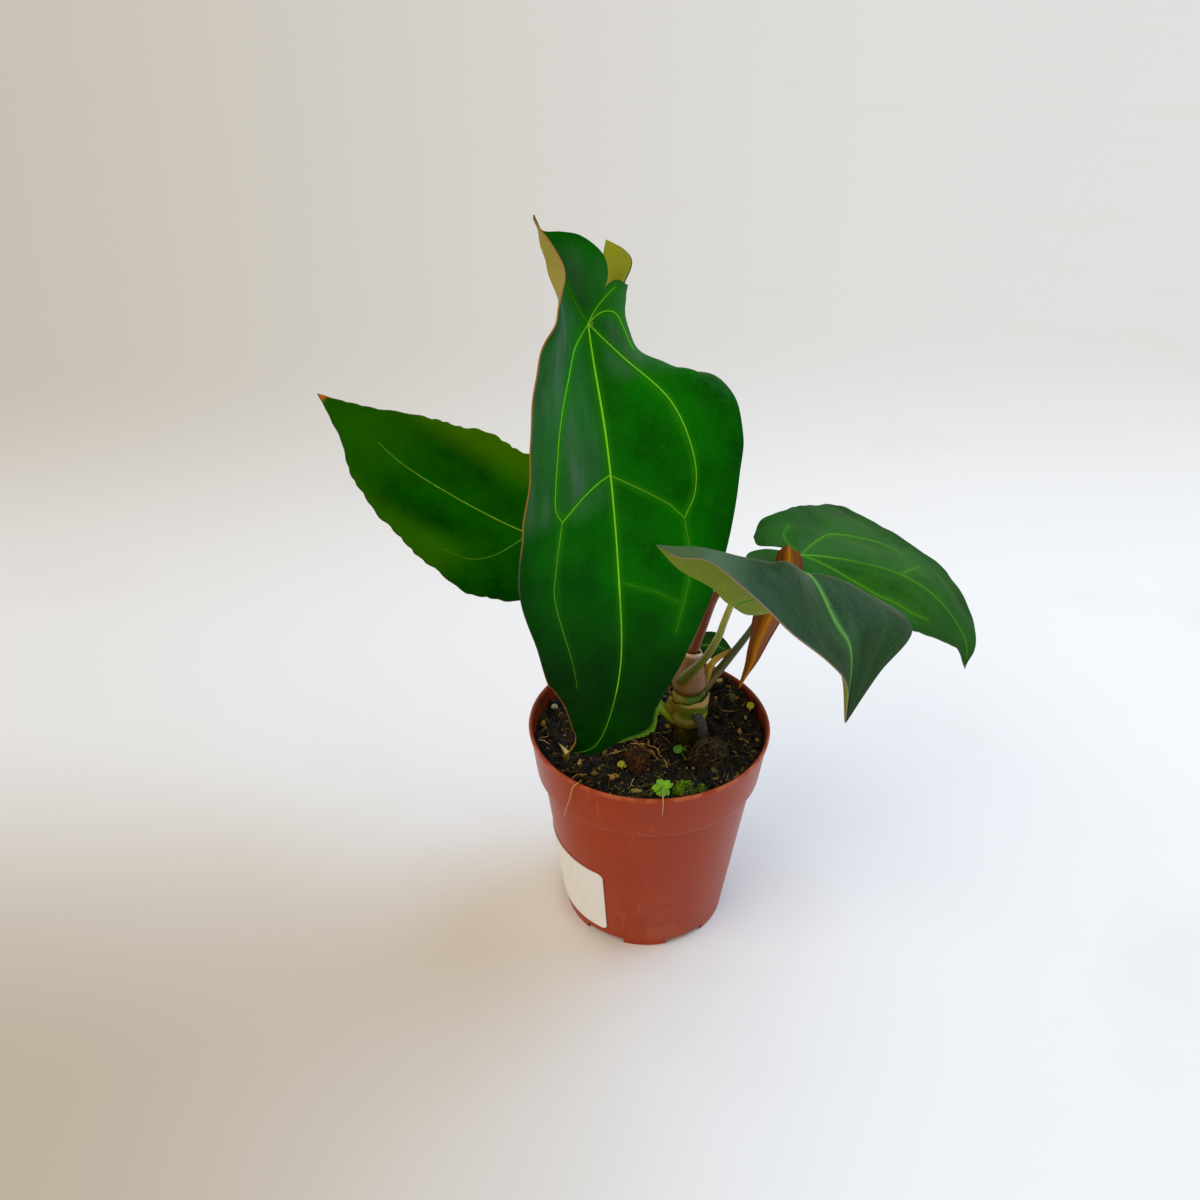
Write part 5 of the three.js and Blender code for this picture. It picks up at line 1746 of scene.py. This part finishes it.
# %% Fibre ball
ball_centre = np.array([21.9, -15.2, 81.8])
wrap_count = 260
ball = placed_lump("ball_core", 5, (6.2, 6.1, 5.8), ball_centre, 0.3, 2.2, 5)
ball.data.materials.append(crumb_finish("fibre_ball", (14, 12, 5), (58, 50, 20), (116, 98, 46)))
wraps = []
for _ in range(wrap_count):
    turn = any_turn()
    arc = rng.uniform(0.2, 0.75)
    radius = rng.uniform(5.7, 6.6)
    angles = np.linspace(-arc / 2, arc / 2, 4)
    lift = rng.uniform(0, 0.5) * np.array([0, 1, 1, 0.3])
    ring = np.stack([(radius + lift) * np.cos(angles), (radius + lift) * np.sin(angles), np.zeros(4)], -1)
    ring = (ring + (0, 0, rng.uniform(-1.5, 1.5))) @ turn.T
    wraps.append(tube("wrap", ring + ball_centre, [0.06, 0.12, 0.05], 5, 6, tone=rng.uniform(0, 0.6)))
wrap = join(wraps, "ball_wrap")
wrap.data.materials.append(straw_skin)
settle(join([ball, wrap], "fibre_ball_fine"), "brown_fibre", "fibre_ball", smooth=60)

# %% [markdown]
# Bright moss grows at the front rim. A low mound is covered with hundreds of tiny pointed leaves, all
# copies of one four-sided spike that lean outwards.

# %% Moss
def spike_model():
    piece = primitive(
        bpy.ops.mesh.primitive_cone_add, "spike",
        vertices=4, radius1=0.28, radius2=0.05, depth=1, location=(0, 0, 0.5),
    )
    bpy.ops.object.transform_apply(location=True)
    return piece


def moss_finish():
    skin = Finish("bright_moss", 0.75, 0.25)
    tone = skin.ramp(skin.painted("tone"), (0.0, (60, 110, 4)), (0.5, (116, 184, 8)), (1.0, (190, 226, 40)))
    return skin.use(skin.mix(skin.noise(skin.place(), 700, 2) * 0.3, tone, (56, 104, 4)))


moss_centre = np.array([13, -31.5, 79.6])
spike_shape = np.array([0.5, 0.25, 1])
clump_count, clump_spikes, stray_spikes = 9, 140, 110
moss = placed_lump("moss_mound", 4, (5.3, 3.2, 1.6), moss_centre, 0.45, 2.2, 8)
spikes = []
for _ in range(clump_count):
    clump_spot = moss_centre + (rng.uniform(-4.6, 4.6), rng.uniform(-2.4, 2.4), 0.3)
    clump_sizes = rng.uniform((1.2, 1.0, 0.8), (2.3, 1.8, 1.7))
    for _ in range(clump_spikes):
        way = unit(rng.normal(size=3) * (1, 1, 0.6) + (0, 0, 0.8))
        spot = way * clump_sizes * rng.uniform(0.75, 1.05) + clump_spot
        lean = way + 0.5 * rng.normal(size=3)
        size = rng.uniform(0.5, 1.0)
        spikes.append((spot, leaning_turn(lean), spike_shape * size, rng.random()))
for _ in range(stray_spikes):
    spot = np.array([rng.normal(-2, 7), rng.uniform(-37, -31), 0])
    spot[2] = soil_height(spot[0], spot[1]) + 0.3
    lean = rng.normal(size=3) * (0.7, 0.7, 0.2) + (0, 0, 1)
    spikes.append((spot, leaning_turn(lean), spike_shape * rng.uniform(0.5, 0.9), rng.random()))
moss.data.materials.append(crumb_finish("moss_ground", (26, 36, 4), (60, 92, 8), (104, 140, 20)))
moss_spikes = copies(spike_model(), "moss_spikes", spikes)
moss_spikes.data.materials.append(moss_finish())
settle(join([moss, moss_spikes], "moss_fine"), "moss", "moss_patch", smooth=0)

# %% [markdown]
# The smallest things on the peat: a dry husk, a grain of perlite and the seedlings. A leaflet is a grid
# pulled into a disc, notched at its end and cupped, on a thin stalk.

# %% Husk and perlite
for name, node, slot, lump, colours in (
    ("husk_fine", "husk", "dry_husk", ((2.1, 1.0, 0.85), (-5.6, -33.4, 80.2), 0.16, 2.4, 4, 0.05),
     ((140, 118, 50), (196, 174, 96), (96, 76, 30))),
    ("perlite_fine", "perlite_grain", "perlite", ((1.2, 1.1, 1.0), (-36, 15.5, 80.4), 0.3, 2.6, 6),
     ((140, 130, 104), (196, 188, 164), (110, 98, 72))),
):
    settle(placed_lump(name, 4, *lump), slot, node, skin=crumb_finish(slot, *colours))

# %% Seedlings
def leaflet(name, centre, size, heading, tilt, notch):
    """One cupped leaflet, centred on a point and turned by its heading, in degrees."""
    turn = np.array(
        Matrix.Rotation(math.radians(heading), 3, "Z") @ Matrix.Rotation(math.radians(tilt), 3, "Y")
    )

    def form(along, across):
        dx, dy = disc(along, across)
        outer = smoothstep(dx, 0.2, 1.0) * np.exp(-((dy / 0.28) ** 2))
        dx -= notch * outer
        cup = 0.1 * dy**2 - 0.06 * dx**2 + 0.03 * np.sin(9 * dy)
        return (np.stack([dx, dy * 0.88, cup], -1) * size) @ turn.T + centre

    return sheet(name, 16, 16, form, thickness=0.22)


def seedling(node, foot, top, leaflets, slot, finish):
    middle = np.add(foot, top) / 2 + (0.4, 0, 0)
    pieces = [tube(node, [foot, middle, top], [0.4, 0.34, 0.26], 8, 12)]
    for shift, size, heading, tilt, notch in leaflets:
        pieces.append(leaflet(node + "_leaflet", np.add(top, shift), size, heading, tilt, notch))
    settle(join(pieces, node + "_fine"), slot, node, skin=finish)


def seedling_finish(name, deep, fresh):
    skin = Finish(name, 0.5, 0.3)
    cloud = skin.noise(skin.place(), 500, 3)
    ribs = skin.cells(skin.place(), 900)
    return skin.use(skin.mix(cloud, deep, fresh), ribs, 0.0002, 0.5)


fresh_green = seedling_finish("seedling_green", (30, 92, 4), (84, 150, 14))
clover_green = seedling_finish("clover_green", (66, 128, 6), (132, 190, 24))
fresh_yellow = seedling_finish("seedling_yellow", (112, 116, 10), (180, 172, 30))
seedling("clover_seedling", (3.5, -35, 77), (3.5, -35, 82.8), [
    ((-1.9, 0.2, 0.1), 1.9, 205, 26, 0.5),
    ((1.9, 1.2, 0.6), 2.2, 35, -14, 0.5),
    ((1.1, -1.5, -0.4), 1.7, 290, 36, 0.5),
    ((-0.6, 2.1, 0.9), 1.6, 110, -24, 0.4),
    ((-1.1, -1.5, -0.6), 1.2, 240, 36, 0.3),
], "seedling_green", clover_green)
seedling("round_leaf_seedling", (12.6, -13, 77), (11, -12.6, 82.8), [
    ((-0.8, -0.5, -0.1), 1.9, 250, 16, 0.1),
    ((1.9, 0.2, -0.9), 0.8, 350, 40, 0.1),
], "seedling_green", fresh_green)
seedling("yellow_seedling", (-10.4, -20.6, 77), (-10.7, -20.4, 81.8), [
    ((0, -0.3, 0), 1.5, 240, 22, 0.35), ((1.2, -0.6, -0.4), 0.9, 330, 25, 0.2),
], "seedling_yellow", fresh_yellow)
seedling("rim_seedling", (38.5, 11.5, 78), (39, 11.8, 84.3), [
    ((0.2, -0.2, 0), 1.6, 262, 22, 0.05),
], "seedling_green", fresh_yellow)

# %% [markdown]
# The last step hands the scene over.

# %% Finish
print("the scene is dressed")
